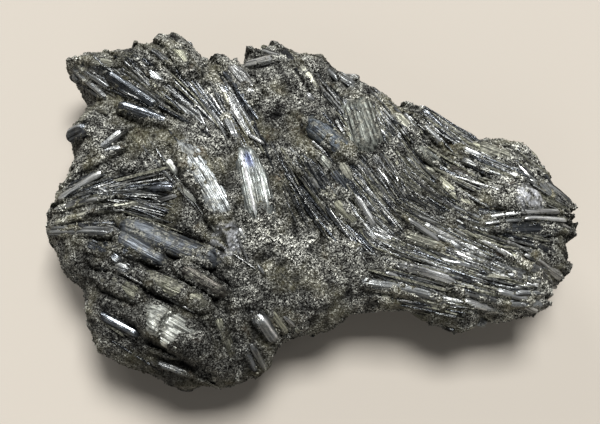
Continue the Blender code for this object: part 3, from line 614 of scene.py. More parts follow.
@dataclass
class RockShape:
    """The form of the ground mass: two height fields that meet along the rim."""

    rim_level: float = 4.5
    rim_wave: float = 0.7
    crown_rise: float = 4.1
    crown_dome: float = 0.11
    dome_reach: float = 8.0
    shoulder_width: float = 4.0
    shoulder_slant: float = 0.12
    keel_width: float = 4.6
    sole: tuple[float, float, float, float] = (-2.5, -0.4, 7.5, 4.8)
    under_lowest: float = 0.12
    sole_cut: float = 0.25
    arch_height: float = 0.5
    lump_size: float = 2.6
    lump_height: float = 0.75
    chip_size: float = 1.5
    chip_height: float = 0.4
    rim_wave_size: float = 5.0
    sole_edge: tuple[float, float] = (0.8, 1.3)
    probe_step: float = 0.1
    probe_count: int = 60

    def rim_distance(self, x: Array, y: Array) -> Array:
        """Return how far places are inside the rim; negative outside it.

        Args:
            x, y: The places, along and across.

        Returns:
            The distances.
        """
        nearest = np.full(x.shape, np.inf)
        inside = np.zeros(x.shape, bool)
        for (ax, ay), (bx, by) in zip(RIM, RIM[1:] + RIM[:1]):
            ex, ey = bx - ax, by - ay
            share = ((x - ax) * ex + (y - ay) * ey) / (ex * ex + ey * ey)
            share = np.clip(share, 0.0, 1.0)
            gap = np.hypot(ax + share * ex - x, ay + share * ey - y)
            nearest = np.minimum(nearest, gap)
            if ay != by:
                crossed = ((ay > y) != (by > y)) & (x < ex * (y - ay) / ey + ax)
                inside ^= crossed
        return np.where(inside, nearest, -nearest)

    def roughness(self, x: Array, y: Array, lumps: Sheet, chips: Sheet) -> Array:
        """Return the lumps and chips of one face."""
        high = self.lump_height * noise_at(x, y, lumps, self.lump_size)
        return high + self.chip_height * noise_at(x, y, chips, self.chip_size)

    def rim_height(self, x: Array, y: Array) -> Array:
        """Return the height of the widest contour near places."""
        return self.rim_level + self.rim_wave * noise_at(x, y, Sheet.RIM_LEVEL, self.rim_wave_size)

    def top_height(self, x: Array, y: Array) -> Array:
        """Return the height of the upper side.

        Args:
            x, y: The places, along and across.

        Returns:
            The heights, without any crystals.
        """
        inwards = np.maximum(self.rim_distance(x, y), 0.0)
        width = self.shoulder_width - self.shoulder_slant * y
        share = np.minimum(inwards / width, 1.0)
        crown = self.crown_rise * np.sqrt(1.0 - (1.0 - share) ** 2)
        dome = self.crown_dome * np.maximum(np.minimum(inwards, self.dome_reach) - width, 0.0)
        hills = np.zeros(x.shape)
        for hill in HILLS:
            hills += hill.amount * hill.fading(x, y)
        hills += self.roughness(x, y, Sheet.TOP_LUMPS, Sheet.TOP_CHIPS)
        return self.rim_height(x, y) + crown + dome + share * hills

    def off_sole(self, x: Array, y: Array) -> Array:
        """Return how far places are from the middle of the sole, where 1 is about its edge."""
        sole_x, sole_y, length, width = self.sole
        return np.hypot((x - sole_x) / length, (y - sole_y) / width)

    def under_height(self, x: Array, y: Array) -> Array:
        """Return the height of the underside, which is flat where it meets the base.

        Args:
            x, y: The places, along and across.

        Returns:
            The heights.
        """
        inwards = np.maximum(self.rim_distance(x, y), 0.0)
        share = np.minimum(inwards / self.keel_width, 1.0)
        flat_to, arched_from = self.sole_edge
        arch = np.clip((self.off_sole(x, y) - flat_to) / (arched_from - flat_to), 0.0, 1.0)
        rough = self.arch_height + self.roughness(x, y, Sheet.UNDER_LUMPS, Sheet.UNDER_CHIPS)
        bed = arch * rough - (1.0 - arch) * self.sole_cut
        rim = self.rim_height(x, y)
        keel = (rim - bed) * np.sqrt(1.0 - (1.0 - share) ** 2)
        return np.maximum(rim - keel, self.under_lowest * arch)

    def wall_point(self, x: float, y: float, inward: Vector, height: float) -> Vector:
        """Return the point of the side wall at a height.

        Args:
            x: Where the search starts, on the rim.
            y: The same, across.
            inward: The level direction away from the rim.
            height: The height of the point.

        Returns:
            The point.
        """
        steps = np.arange(1, self.probe_count + 1) * self.probe_step
        across, along = x + steps * inward.x, y + steps * inward.y
        if height < self.rim_height(np.array([x]), np.array([y]))[0]:
            reached = self.under_height(across, along) <= height
        else:
            reached = self.top_height(across, along) >= height
        step = int(np.argmax(reached)) if reached.any() else len(steps) - 1
        return Vector((across[step], along[step], height))

    def inside(self, places: Array) -> Array:
        """Return how far inside the rim places are that stand in rows."""
        return self.rim_distance(places[:, 0], places[:, 1])

    def clearance(self, point: Vector) -> float:
        """Return how far a point is outside the rock, or below 0 inside it."""
        x, y = np.array([point.x]), np.array([point.y])
        below = self.under_height(x, y)[0] - point.z
        above = point.z - self.top_height(x, y)[0]
        return float(max(below, above, -self.rim_distance(x, y)[0]))

    def laid(self, starts: Array, ends: Array, lifts: Array,
             under: bool = False) -> tuple[Array, Array]:
        """Lay straight axes along a face.

        Args:
            starts: One end of each as seen from above, a row each.
            ends: The other ends.
            lifts: How far each lies above the face.
            under: Whether they lie on the underside.

        Returns:
            Both ends of every axis in space.
        """
        share = np.linspace(0.0, 1.0, 7)
        places = starts[:, None, :] + share[None, :, None] * (ends - starts)[:, None, :]
        height = self.under_height if under else self.top_height
        heights = height(places[..., 0].ravel(), places[..., 1].ravel()).reshape(-1, len(share))
        slope = heights @ (share - 0.5) / np.dot(share - 0.5, share - 0.5)
        middle = heights.mean(axis=1) + lifts
        low, high = middle - 0.5 * slope, middle + 0.5 * slope
        return np.column_stack([starts, low]), np.column_stack([ends, high])

    def settle(self, start: Place, end: Place, radius: float, proud: float,
               under: bool = False) -> tuple[Vector, Vector]:
        """Lay a cylinder along a face, sunk to its share above it.

        Args:
            start: One end as seen from above.
            end: The other end.
            radius: The cylinder's radius.
            proud: The share of its thickness that stands out.
            under: Whether it lies on the underside.

        Returns:
            Both ends of its axis.
        """
        lift = (-1 if under else 1) * radius * (2.0 * proud - 1.0)
        pair = self.laid(np.array([start]), np.array([end]), np.array([lift]), under)
        return Vector(pair[0][0]), Vector(pair[1][0])


@dataclass(frozen=True)
class Axis:
    """A cylinder in space: the ends of its axis, its radius and its finish.

    Its sinks say how far each end bends down into the mass, from 0 to 1.
    """

    start: Vector
    end: Vector
    radius: float
    tone: Tone
    name: str = ""
    sinks: tuple[float, float] = (0.0, 0.0)


@dataclass
class Layout:
    """Where every cylinder lies, worked out from the named lists and the rock's shape."""

    shape: RockShape
    palette: tuple[Tone, ...] = (STEEL, STEEL, SILVER, DARK, STEEL, OLIVE)
    bundle_proud: float = 0.56
    lane_wobble: float = 0.1
    bundle_lengths: tuple[float, float] = (0.75, 1.2)
    bundle_radii: tuple[float, float] = (0.85, 1.25)
    wall_count: int = 34
    wall_levels: tuple[float, float] = (1.6, 6.4)
    wall_radii: tuple[float, float] = (0.3, 0.46)
    wall_trim: float = 0.45
    wall_clearance: float = 0.15
    under_count: int = 18
    under_reach: tuple[float, float] = (15.0, 10.0)
    under_margin: float = 1.2
    under_radii: tuple[float, float] = (0.34, 0.5)
    under_half_lengths: tuple[float, float] = (1.1, 1.8)
    under_proud: float = 0.6
    under_girth: float = 1.15
    overhang: float = -0.05
    pull_in: float = 1.5
    free_width: float = 0.7
    sunk_width: float = 2.2
    flow_reach: float = 2.0
    bundled: list[Crystal] = field(default_factory=list)

    def __post_init__(self) -> None:
        """Work out the crystals of the bundles once, because the blades follow them too."""
        places, tones = random.Random(BUNDLE_SEED), random.Random(BUNDLE_TONE_SEED)
        for bundle in BUNDLES:
            self.bundled.extend(self._bundle(bundle, places, tones))

    def _bundle(self, bundle: Bundle, rng: random.Random,
                tones: random.Random) -> Iterator[Crystal]:
        """Yield the crystals of a bundle, each with its own place, heading and thickness.

        Args:
            bundle: The bundle.
            rng: The source of places, headings and sizes.
            tones: The source of finishes.

        Yields:
            The crystals.
        """
        heading = math.radians(bundle.heading)
        forward = Vector((math.cos(heading), math.sin(heading)))
        sideways = Vector((-forward.y, forward.x))
        for i in range(bundle.count):
            lane = (i + 0.5) / bundle.count - 0.5
            middle = Vector((bundle.x, bundle.y))
            middle += forward * rng.uniform(-0.5, 0.5) * bundle.along
            lane += rng.uniform(-self.lane_wobble, self.lane_wobble)
            middle += sideways * lane * bundle.across
            turned = heading + math.radians(rng.gauss(0, bundle.spread))
            half = Vector((math.cos(turned), math.sin(turned)))
            half *= 0.5 * bundle.length * rng.uniform(*self.bundle_lengths)
            radius = bundle.radius * rng.uniform(*self.bundle_radii)
            yield Crystal(bundle.name, tuple(middle - half), tuple(middle + half), radius,
                          self.bundle_proud, tones.choice(self.palette))

    @property
    def large_and_medium(self) -> tuple[Crystal, ...]:
        """The crystals of the top face that shape the mass round them."""
        return LARGE_CRYSTALS + MEDIUM_CRYSTALS + tuple(self.bundled)

    def settled(self, crystals: Sequence[Crystal]) -> list[Axis]:
        """Return the axes of crystals that lie on the top face, cut short at the rim.

        Args:
            crystals: The crystals as seen from above.

        Returns:
            One axis for each, in order.
        """
        axes = []
        for crystal in crystals:
            places = np.array([crystal.start, crystal.end])
            outside = np.maximum(self.overhang - self.shape.inside(places), 0.0)
            inwards = places[::-1] - places
            inwards /= np.linalg.norm(inwards, axis=1)[:, None]
            places += self.pull_in * outside[:, None] * inwards
            ends = self.shape.settle(*places, crystal.radius, crystal.proud)
            inside = self.shape.inside(places) - self.free_width
            sinks = np.clip(inside / (self.sunk_width - self.free_width), 0.0, 1.0)
            axes.append(Axis(*ends, crystal.radius, crystal.tone, crystal.name, tuple(sinks)))
        return axes

    def on_walls(self) -> list[Axis]:
        """Return the axes of the crystals that show on the side walls.

        Those that would bridge a hollow are left out.
        """
        rng = random.Random(WALL_SEED)
        count = len(RIM)
        axes = []
        for i in range(self.wall_count):
            first = int((i + rng.uniform(0.2, 0.8)) * count / self.wall_count) % count
            ends = []
            for index in (first, first + rng.choice((1, 1, 2))):
                here, after = Vector(RIM[index % count]), Vector(RIM[(index + 1) % count])
                along = (after - here).normalized()
                inward = Vector((along.y, -along.x))
                height = rng.uniform(*self.wall_levels)
                middle = here.lerp(after, 0.5)
                ends.append(self.shape.wall_point(middle.x, middle.y, inward, height))
            trim = (ends[0] - ends[1]).normalized() * rng.uniform(-self.wall_trim, 0.0)
            radius = rng.uniform(*self.wall_radii)
            tone = (STEEL, DARK, OLIVE)[i % 3]
            if self.shape.clearance((ends[0] + ends[1]) / 2) < self.wall_clearance:
                axes.append(Axis(ends[0] + trim, ends[1] - trim, radius, tone))
        return axes

    def on_underside(self) -> list[Axis]:
        """Return the axes of the crystals on the sloping part of the underside."""
        rng = random.Random(UNDERSIDE_SEED)
        width, depth = self.under_reach
        axes = []
        while len(axes) < self.under_count:
            x, y = rng.uniform(-width, width), rng.uniform(-depth, depth)
            inside = self.shape.inside(np.array([[x, y]]))[0]
            if min(inside, self.shape.off_sole(x, y)) < self.under_margin:
                continue
            turned = rng.uniform(0, math.tau)
            half = Vector((math.cos(turned), math.sin(turned)))
            half *= rng.uniform(*self.under_half_lengths)
            radius = rng.uniform(*self.under_radii)
            middle = Vector((x, y))
            start, end = self.shape.settle(middle - half, middle + half, radius,
                                           self.under_proud, under=True)
            lowest = min(start.z, end.z) - self.under_girth * radius
            raised = Vector((0.0, 0.0, max(self.shape.under_lowest - lowest, 0.0)))
            start, end = start + raised, end + raised
            tone = (STEEL, DARK)[len(axes) % 2]
            if max(self.shape.clearance(start), self.shape.clearance(end)) < 0.0:
                axes.append(Axis(start, end, radius, tone))
        return axes

    def flow_at(self, x: Array, y: Array) -> tuple[Array, Array]:
        """Average the headings of the crystals near places.

        Headings are averaged at twice their angle, because a cylinder has no front.

        Args:
            x, y: The places, along and across.

        Returns:
            The shared headings in radians, and how well they agree, from 0 to 1.
        """
        cosine, sine, total = np.zeros(x.shape), np.zeros(x.shape), np.full(x.shape, 1e-9)
        for crystal in self.large_and_medium:
            ax, ay = crystal.start
            bx, by = crystal.end
            gap = np.hypot((ax + bx) / 2 - x, (ay + by) / 2 - y)
            weight = crystal.radius * np.exp(-((gap / self.flow_reach) ** 2))
            angle = 2.0 * math.atan2(by - ay, bx - ax)
            cosine += weight * math.cos(angle)
            sine += weight * math.sin(angle)
            total += weight
        return 0.5 * np.arctan2(sine, cosine), np.hypot(cosine, sine) / total


@dataclass(frozen=True)
class Stripe:
    """A band along a cylinder: its angle and half width in degrees, and its gain. With a gain it is
    a painted highlight, lighter colour where a lamp's reflection falls; with none it only places
    the tarnish bloom.

    The angle is 90 on top and 0 on the side to the left of the way from start to end.
    """

    angle: float
    width: float
    gain: float

    def share(self, theta: Array) -> Array:
        """Return how far inside the stripe angles in radians are, from 0 to 1."""
        apart = (theta - math.radians(self.angle) + math.pi) % math.tau - math.pi
        return np.exp(-((np.degrees(apart) / self.width) ** 2))


@dataclass(frozen=True)
class CylinderStyle:
    """How finely a cylinder is made and how broken it is. Depths are shares of its radius."""

    around: int = 20
    stations: int = 13
    ridge_depth: float = 0.07
    swell: float = 0.07
    flutes: int = 0
    flute_depth: float = 0.0
    flatness: float = 1.0
    ledges: int = 1
    ledge_depth: float = 0.1
    cracks: int = 1
    crack_depth: float = 0.1
    crack_width: float = 0.05
    split_at: Optional[float] = None
    split_depth: float = 0.2
    taper: float = 0.12
    bow: float = 0.14
    dip: float = 0.8
    narrowing: float = 0.5
    narrowing_reach: float = 1.8
    head_narrowing: float = 0.0
    crusted_from: float = 0.0
    flank_crust: float = 0.6
    ragged: float = 0.35
    moat: float = 1.0
    # painted highlights: bands of lighter colour where the lamps' reflections fall
    painted_highlights: tuple[Stripe, ...] = ()
    bloom: float = 0.0
    cap_rings: int = 2
    cap_relief: float = 0.2
    cap_lean: float = 0.45
    bareness: float = 0.0


BLOOM_ROUND = Stripe(88.0, 24.0, 0.0)
BLOOM_ALONG = Stripe(100.0, 34.0, 0.0)
# a painted highlight along the crest of plain rods
CREST_HIGHLIGHT = Stripe(82.0, 20.0, 1.0)
ROD = CylinderStyle(painted_highlights=(CREST_HIGHLIGHT,))
WALL_ROD = CylinderStyle(narrowing=0.35)
# two painted highlights, one on a flank and one near the crest
RIBBED_ROD = CylinderStyle(
    around=44, stations=22, ridge_depth=0.05, swell=0.08, flutes=7, flute_depth=0.05,
    ledges=3, ledge_depth=0.08, cracks=2, crack_depth=0.08, crack_width=0.03,
    painted_highlights=(Stripe(66.0, 11.0, 1.8), Stripe(104.0, 8.0, 1.2)),
)
BARREL = CylinderStyle(
    around=84, stations=64, ridge_depth=0.022, swell=0.05, ledges=5, ledge_depth=0.05,
    cracks=3, crack_depth=0.08, crack_width=0.01, bow=0.08, dip=0.4, narrowing=0.4,
    narrowing_reach=1.2, ragged=0.22, cap_rings=6, bareness=0.15,
)
# a broad painted highlight on one flank below the crest
SCALY_BARREL = replace(
    BARREL, around=90, stations=90, ridge_depth=0.018, ledges=22, ledge_depth=0.03,
    cracks=12, crack_depth=0.06, crack_width=0.008, dip=0.3, narrowing=0.35,
    narrowing_reach=1.0, ragged=0.2, bareness=0.45, flank_crust=1.2, moat=0.4,
    painted_highlights=(Stripe(56.0, 34.0, 0.8),),
)
# two narrow painted highlights, one each side of the crest
FLUTED_BARREL = replace(
    BARREL, around=120, stations=56, ridge_depth=0.02, swell=0.04, flutes=4, flute_depth=0.08,
    ledges=4, ledge_depth=0.04, cracks=2, crack_depth=0.03, crack_width=0.008, bow=0.05,
    dip=0.9, narrowing=0.3, narrowing_reach=1.0, head_narrowing=0.6, ragged=0.4, cap_lean=0.3,
    bareness=0.5, flank_crust=0.9, moat=0.4, bloom=0.6,
    painted_highlights=(Stripe(112.0, 12.0, 2.6), Stripe(58.0, 7.0, 2.0)),
)
SMOOTH_BARREL = replace(
    BARREL, around=72, stations=56, ridge_depth=0.012, ledges=2, ledge_depth=0.035, cracks=1,
    crack_depth=0.05, crack_width=0.012, bow=0.06, dip=0.45, narrowing=0.6,
    narrowing_reach=1.3, ragged=0.1, cap_lean=0.2, bareness=0.25,
)
# a narrow, strong painted highlight just off the crest of a dark barrel
HIGHLIT_BARREL = replace(
    SMOOTH_BARREL, ridge_depth=0.014, ledges=3, ledge_depth=0.04, bareness=0.2,
    painted_highlights=(Stripe(75.0, 10.0, 7.0),),
)
STUB = replace(
    SMOOTH_BARREL, ridge_depth=0.01, swell=0.03, ledge_depth=0.03, bow=0.04, dip=0.1,
    narrowing=0.7, narrowing_reach=1.0, ragged=0.05, cap_rings=8, cap_relief=0.05,
    cap_lean=0.1, bareness=-0.25, crusted_from=0.42, moat=0.6,
)
# a strong painted highlight along the crest
HIGHLIT_ROD = CylinderStyle(
    around=72, stations=40, ridge_depth=0.008, swell=0.03, ledge_depth=0.03, cracks=0,
    bow=0.04, dip=0.3, ragged=0.05, cap_rings=6, cap_lean=0.2, bareness=0.5,
    painted_highlights=(Stripe(84.0, 12.0, 8.0),),
)
SPLIT_BARREL = replace(
    BARREL, around=90, stations=80, ledges=7, ledge_depth=0.06, crack_width=0.012,
    split_at=0.34, split_depth=0.28, dip=0.3, narrowing=0.25, narrowing_reach=0.8,
    ragged=0.3, cap_rings=7, bareness=0.1, crusted_from=0.55, flank_crust=0.9,
)
SLAB = replace(
    BARREL, around=96, stations=50, ridge_depth=0.06, swell=0.06, flatness=0.5, ledges=2,
    cracks=0, bow=0.05, dip=0.3, narrowing=0.35, narrowing_reach=0.9, ragged=0.3,
    cap_rings=5, bareness=0.5, moat=0.4,
)
KNUCKLE = replace(
    BARREL, around=60, stations=40, ridge_depth=0.03, swell=0.16, flatness=0.8, ledges=9,
    cracks=7, crack_width=0.02, bow=0.1, dip=0.6, narrowing=0.5, narrowing_reach=1.8,
    ragged=0.1, cap_rings=5, cap_lean=0.1, bareness=-1.6, moat=0.5,
)
STYLES = {
    "silver barrel": SCALY_BARREL,
    "blue barrel": FLUTED_BARREL,
    "split barrel": SPLIT_BARREL,
    "pale slab": SLAB,
    "east knuckle": KNUCKLE,
    "dark stub": STUB,
    "north-west upper": HIGHLIT_BARREL,
    "north-west lower": HIGHLIT_BARREL,
    "long dark cylinder": SMOOTH_BARREL,
    "side by side cylinder": SMOOTH_BARREL,
    "lower dark cylinder": SMOOTH_BARREL,
    "south-west bright rod": HIGHLIT_ROD,
    "south bright rod": HIGHLIT_BARREL,
    "round knob": HIGHLIT_BARREL,
}
PLAIN_STYLES = ((0.45, BARREL), (0.28, RIBBED_ROD), (0.0, ROD))  # for radii above each


def style_of(axis: Axis) -> CylinderStyle:
    """Return how a cylinder of the top face is made."""
    plain = next(style for least, style in PLAIN_STYLES if axis.radius > least)
    return STYLES.get(axis.name, plain)


@dataclass
class CylinderPile:
    """Gathers the cylinders of one piece as arrays of points, faces and attributes."""

    lightness: tuple[float, float] = (0.8, 1.25)
    growth_shift: float = 90.0
    points: list[Array] = field(default_factory=list)
    faces: list[tuple[int, ...]] = field(default_factory=list)
    growth: list[Array] = field(default_factory=list)
    tones: list[Array] = field(default_factory=list)
    size: int = 0

    def grow(self, axis: Axis, style: CylinderStyle, rng: Dice) -> None:
        """Add one closed cylinder with striations, peeled ledges, cracks and broken ends.

        Args:
            axis: Where it lies, its radius and its finish.
            style: How finely it is made and how broken it is.
            rng: The source of its own unevenness.
        """
        theta = np.arange(style.around) * (math.tau / style.around)
        share = 0.5 - 0.5 * np.cos(np.linspace(0.0, math.pi, style.stations))
        start, end = np.array(axis.start), np.array(axis.end)
        length = float(np.linalg.norm(end - start))
        girth = self._girth(theta, share, style, rng)
        to_end = np.minimum(share, 1.0 - share) * length / (axis.radius * style.narrowing_reach)
        girth *= (1.0 - style.narrowing * np.maximum(1.0 - to_end, 0.0) ** 2)[:, None]
        girth *= (1.0 - style.head_narrowing * np.maximum(1.0 - 2.0 * share, 0.0))[:, None]
        rings, spans = self._rings(theta, share, girth, length / axis.radius, style, rng)
        radial, along = axis.radius * rings, axis.radius * spans

        forward = (end - start) / length
        beside = np.cross((0.0, 0.0, 1.0), forward)
        beside /= np.linalg.norm(beside)
        above = np.cross(forward, beside)
        rim = np.cos(theta)[:, None] * beside
        rim += style.flatness * np.sin(theta)[:, None] * above
        points = start + along[..., None] * forward + radial[..., None] * rim
        bend = style.bow * axis.radius * rng.uniform(-1, 1) * np.sin(np.pi * along / length)
        sink = end_sink(axis, style.dip, along / length)
        points += bend[..., None] * beside - sink[..., None] * above
        poles = [points[0].mean(axis=0), points[-1].mean(axis=0)]
        growth = np.stack([radial * np.cos(theta), radial * np.sin(theta), along], axis=-1)
        growth = np.vstack([growth.reshape(-1, 3), [0, 0, 0], [0, 0, length]])
        growth += rng.uniform(-self.growth_shift, self.growth_shift, size=3)

        colour = np.array(axis.tone.colour) * rng.uniform(*self.lightness)
        middle = (start + end) / 2
        # painted light and shade of the area round the crystal, partly real staining, at half
        # strength
        colour *= math.sqrt(shade_at(middle[0], middle[1]))
        faces = self._skin(*radial.shape)
        points = np.vstack([points.reshape(-1, 3), *poles])
        tone = np.tile([*colour, axis.tone.polish], (len(points), 1))
        tone[:-2, :3] = self._with_painted_highlights(colour, theta, along / length, style).reshape(-1, 3)
        self.points.append(points)
        self.faces.extend(tuple(i + self.size for i in face) for face in faces)
        self.growth.append(growth)
        self.tones.append(tone)
        self.size += len(points)

    def _rings(self, theta: Array, share: Array, girth: Array, length: float,
               style: CylinderStyle, rng: Dice) -> tuple[Array, Array]:
        """Return the rings of the side and of both end faces, as shares of the radius.

        Args:
            theta: The angle of each column.
            share: How far along each ring of the side is, from 0 to 1.
            girth: The radius of every point of the side.
            length: The cylinder's length.
            style: How its ends are broken.
            rng: The source of their unevenness.

        Returns:
            How far every point is from the axis, and how far along it.
        """
        lean = rng.uniform(-style.cap_lean, style.cap_lean, size=(2, 2))
        torn = [style.ragged * self._torn(len(theta), rng) for _ in range(2)]
        shrink = np.linspace(0.0, 1.0, style.cap_rings + 1)[1:-1]
        opening = [girth[0] * fraction for fraction in shrink]
        head = [self._cap(theta, ring, lean[0], style, rng) for ring in opening]
        first = np.clip(1.0 - 4.0 * share, 0.0, 1.0)[:, None]
        last = np.clip(4.0 * share - 3.0, 0.0, 1.0)[:, None]
        side = share[:, None] * length + first * (self._slant(theta, girth, lean[0]) + torn[0])
        side += last * (self._slant(theta, girth, lean[1]) - torn[1])
        closing = [girth[-1] * fraction for fraction in shrink[::-1]]
        foot = [length + self._cap(theta, ring, lean[1], style, rng) for ring in closing]
        return np.vstack([*opening, girth, *closing]), np.vstack([*head, side, *foot])

    @staticmethod
    def _with_painted_highlights(colour: Array, theta: Array, share: Array, style: CylinderStyle) -> Array:
        """Return the colour of every point of the side, with its painted highlights and its tarnish
        bloom.

        Args:
            colour: The cylinder's own colour.
            theta: The angle of each column.
            share: How far along each point is, from 0 to 1.
            style: Which painted highlights and bloom it has.

        Returns:
            Rows, columns and channels.
        """
        # painted highlights: the colour is lightened in bands where the lamps' reflections fall,
        # fading out near the ends
        gain = 1.0 + sum(stripe.gain * stripe.share(theta) for stripe in style.painted_highlights)
        inner = np.clip(6.0 * np.minimum(share, 1.0 - share), 0.0, 1.0)
        gain = 1.0 + inner * (np.ones(share.shape) * gain - 1.0)
        # a painted highlight on the torn edge of the outer layer just beyond a split
        if style.split_at is not None:
            gain += np.exp(-(((share - style.split_at - 0.08) / 0.06) ** 2))
        highlit = np.minimum(gain[..., None] * colour, BRIGHTEST)
        near = BLOOM_ALONG.share(np.radians(share * 360.0)) * BLOOM_ROUND.share(theta)
        near = style.bloom * near[..., None]
        return highlit * (1.0 - near) + near * np.array(BLOOM)

    def _girth(self, theta: Array, share: Array, style: CylinderStyle, rng: Dice) -> Array:
        """Return the radius of every point of the side, as a share of the cylinder's own.

        Args:
            theta: The angle of each column.
            share: How far along each ring is.
            style: How uneven and broken the side is.
            rng: The source of its unevenness.

        Returns:
            A row for each ring.
        """
        around = len(theta)
        girth = np.ones((len(share), around))
        for wave in (2, 3, 5, 9):
            girth += style.swell / wave * np.sin(wave * theta + rng.uniform(0, math.tau))
        columns = rng.normal(size=(5, around))
        columns = 0.6 * columns + 0.4 * np.roll(columns, 1, axis=1)
        place = share * 3.999
        low = place.astype(int)
        blend = (place - low)[:, None]
        striations = columns[low] * (1 - blend) + columns[low + 1] * blend
        girth += style.ridge_depth * (0.6 * striations + 0.6 * rng.normal(size=around))
        girth += style.swell * 0.4 * np.sin(share * rng.uniform(2, 7) + rng.uniform(0, 6))[:, None]
        girth += style.flute_depth * np.cos(style.flutes * theta + rng.uniform(0, math.tau))
        if style.split_at is not None:
            arc = style.split_at + 0.05 * np.cos(2.0 * theta) + 0.008 * rng.normal(size=around)
            apart = (share[:, None] - arc[None, :]) / 0.018
            girth -= style.split_depth * np.exp(-(apart**2))
        for _ in range(style.ledges):
            girth -= style.ledge_depth * self._ledge(theta, share, rng)
        for _ in range(style.cracks):
            girth -= style.crack_depth * self._crack(theta, share, style.crack_width, rng)
        return girth * (1.0 - style.taper * share * rng.uniform(0.0, 1.0))[:, None]

    @staticmethod
    def _torn(around: int, rng: Dice) -> Array:
        """Return how far each strip of the outer layer is broken back, from 0 to about 1."""
        steps = max(around // 5, 3)
        level = rng.uniform(0.0, 1.0, size=steps)
        strips = np.repeat(level, math.ceil(around / steps))[:around]
        return strips + 0.12 * rng.normal(size=around)

    @staticmethod
    def _ledge(theta: Array, share: Array, rng: Dice) -> Array:
        """Return 1 where an outer sheet has peeled off towards one end, and 0 elsewhere.

        Args:
            theta: The angle of each column.
            share: How far along each ring is.
            rng: The source of its place.

        Returns:
            A row for each ring.
        """
        middle = rng.uniform(0, math.tau)
        reach = rng.uniform(0.4, 1.5)
        edge = rng.uniform(0.2, 0.9) + 0.04 * rng.normal(size=len(theta))
        apart = np.abs((theta - middle + math.pi) % math.tau - math.pi)
        peeled = share[:, None] > edge[None, :]
        if rng.random() < 0.5:
            peeled = peeled[::-1]
        return peeled * (apart < reach)[None, :]

    @staticmethod
    def _crack(theta: Array, share: Array, width: float, rng: Dice) -> Array:
        """Return the depth of a crack across the cylinder, 1 at its bottom.

        Args:
            theta: The angle of each column.
            share: How far along each ring is.
            width: The crack's half width, as a share of the length.
            rng: Where it lies.

        Returns:
            A row for each ring.
        """
        place = rng.uniform(0.12, 0.88) + 0.02 * np.sin(theta + rng.uniform(0, math.tau))
        place = place + 0.006 * rng.normal(size=len(theta))
        apart = np.abs((theta - rng.uniform(0, math.tau) + math.pi) % math.tau - math.pi)
        fade = np.clip(1.8 - apart, 0.0, 1.0)
        return np.exp(-(((share[:, None] - place[None, :]) / width) ** 2)) * fade[None, :]

    @staticmethod
    def _slant(theta: Array, girth: Array, lean: Array) -> Array:
        """Return how far a slanting end reaches along the axis at each angle."""
        return girth * (lean[0] * np.cos(theta) + lean[1] * np.sin(theta))

    def _cap(self, theta: Array, girth: Array, lean: Array,
             style: CylinderStyle, rng: Dice) -> Array:
        """Return one ring of an end face, where each rolled layer broke at its own depth."""
        depth = style.cap_relief * rng.uniform(-1.0, 0.6)
        chips = 0.25 * style.cap_relief * rng.normal(size=len(theta))
        return self._slant(theta, girth, lean) + depth + chips

    @staticmethod
    def _skin(rings: int, around: int) -> list[tuple[int, ...]]:
        """Return the faces of stacked rings that a pole closes at each end.

        Args:
            rings: How many rings there are.
            around: How many points each has.

        Returns:
            The faces as point numbers, with the poles numbered last.
        """
        faces = []
        first_pole, last_pole = rings * around, rings * around + 1
        for a in range(around):
            b = (a + 1) % around
            faces.append((first_pole, b, a))
            top = (rings - 1) * around
            faces.append((top + a, top + b, last_pole))
            for ring in range(rings - 1):
                low, high = ring * around, (ring + 1) * around
                faces.append((low + a, low + b, high + b, high + a))
        return faces

    def to_object(self, name: str, material: Material) -> Thing:
        """Return the piece, dressed in a finish that reads its growth and tone attributes.

        Args:
            name: The piece's name.
            material: The finish.

        Returns:
            The piece.
        """
        mesh = bpy.data.meshes.new(name)
        mesh.from_pydata(np.vstack(self.points).tolist(), [], self.faces)
        set_attribute(mesh, "growth", np.vstack(self.growth))
        set_attribute(mesh, "tone", np.vstack(self.tones))
        mesh.materials.append(material)
        return finished(name, mesh)


def end_sink(axis: Axis, dip: float, share: Array) -> Array:
    """Return how far a crystal bends down into the mass at shares of its length."""
    way = 2.0 * share - 1.0
    sinks = np.where(way < 0.0, axis.sinks[0], axis.sinks[1])
    return dip * axis.radius * sinks * way**4


def set_attribute(mesh: Mesh, name: str, values: Array) -> None:
    """Store a value, a vector or a colour for every point of a mesh.

    Args:
        mesh: The mesh.
        name: The attribute's name.
        values: One row a point.
    """
    width = 1 if values.ndim == 1 else values.shape[1]
    kind, key = {1: ("FLOAT", "value"), 3: ("FLOAT_VECTOR", "vector"),
                 4: ("FLOAT_COLOR", "color")}[width]
    attribute = mesh.attributes.new(name, kind, "POINT")
    attribute.data.foreach_set(key, values.astype(np.float32).ravel())


def finished(name: str, mesh: Mesh, smooth_angle: float = 32.0) -> Thing:
    """Scale a mesh in millimetres to metres, shade it and put it in the scene.

    Args:
        name: The piece's name.
        mesh: The mesh, in millimetres.
        smooth_angle: Edges sharper than this, in degrees, stay sharp.

    Returns:
        The object that holds the mesh.
    """
    mesh.transform(Matrix.Scale(MM, 4) @ Matrix.Translation(SHIFT))
    if smooth_angle > 0.0:
        mesh.shade_smooth()
        mesh.set_sharp_from_angle(angle=math.radians(smooth_angle))
    else:
        mesh.shade_flat()
    mesh.update()
    return placed(name, mesh)


def placed(name: str, data: Optional[bpy.types.ID]) -> Thing:
    """Return a new object that is linked to the scene."""
    obj = bpy.data.objects.new(name, data)
    bpy.context.scene.collection.objects.link(obj)
    return obj


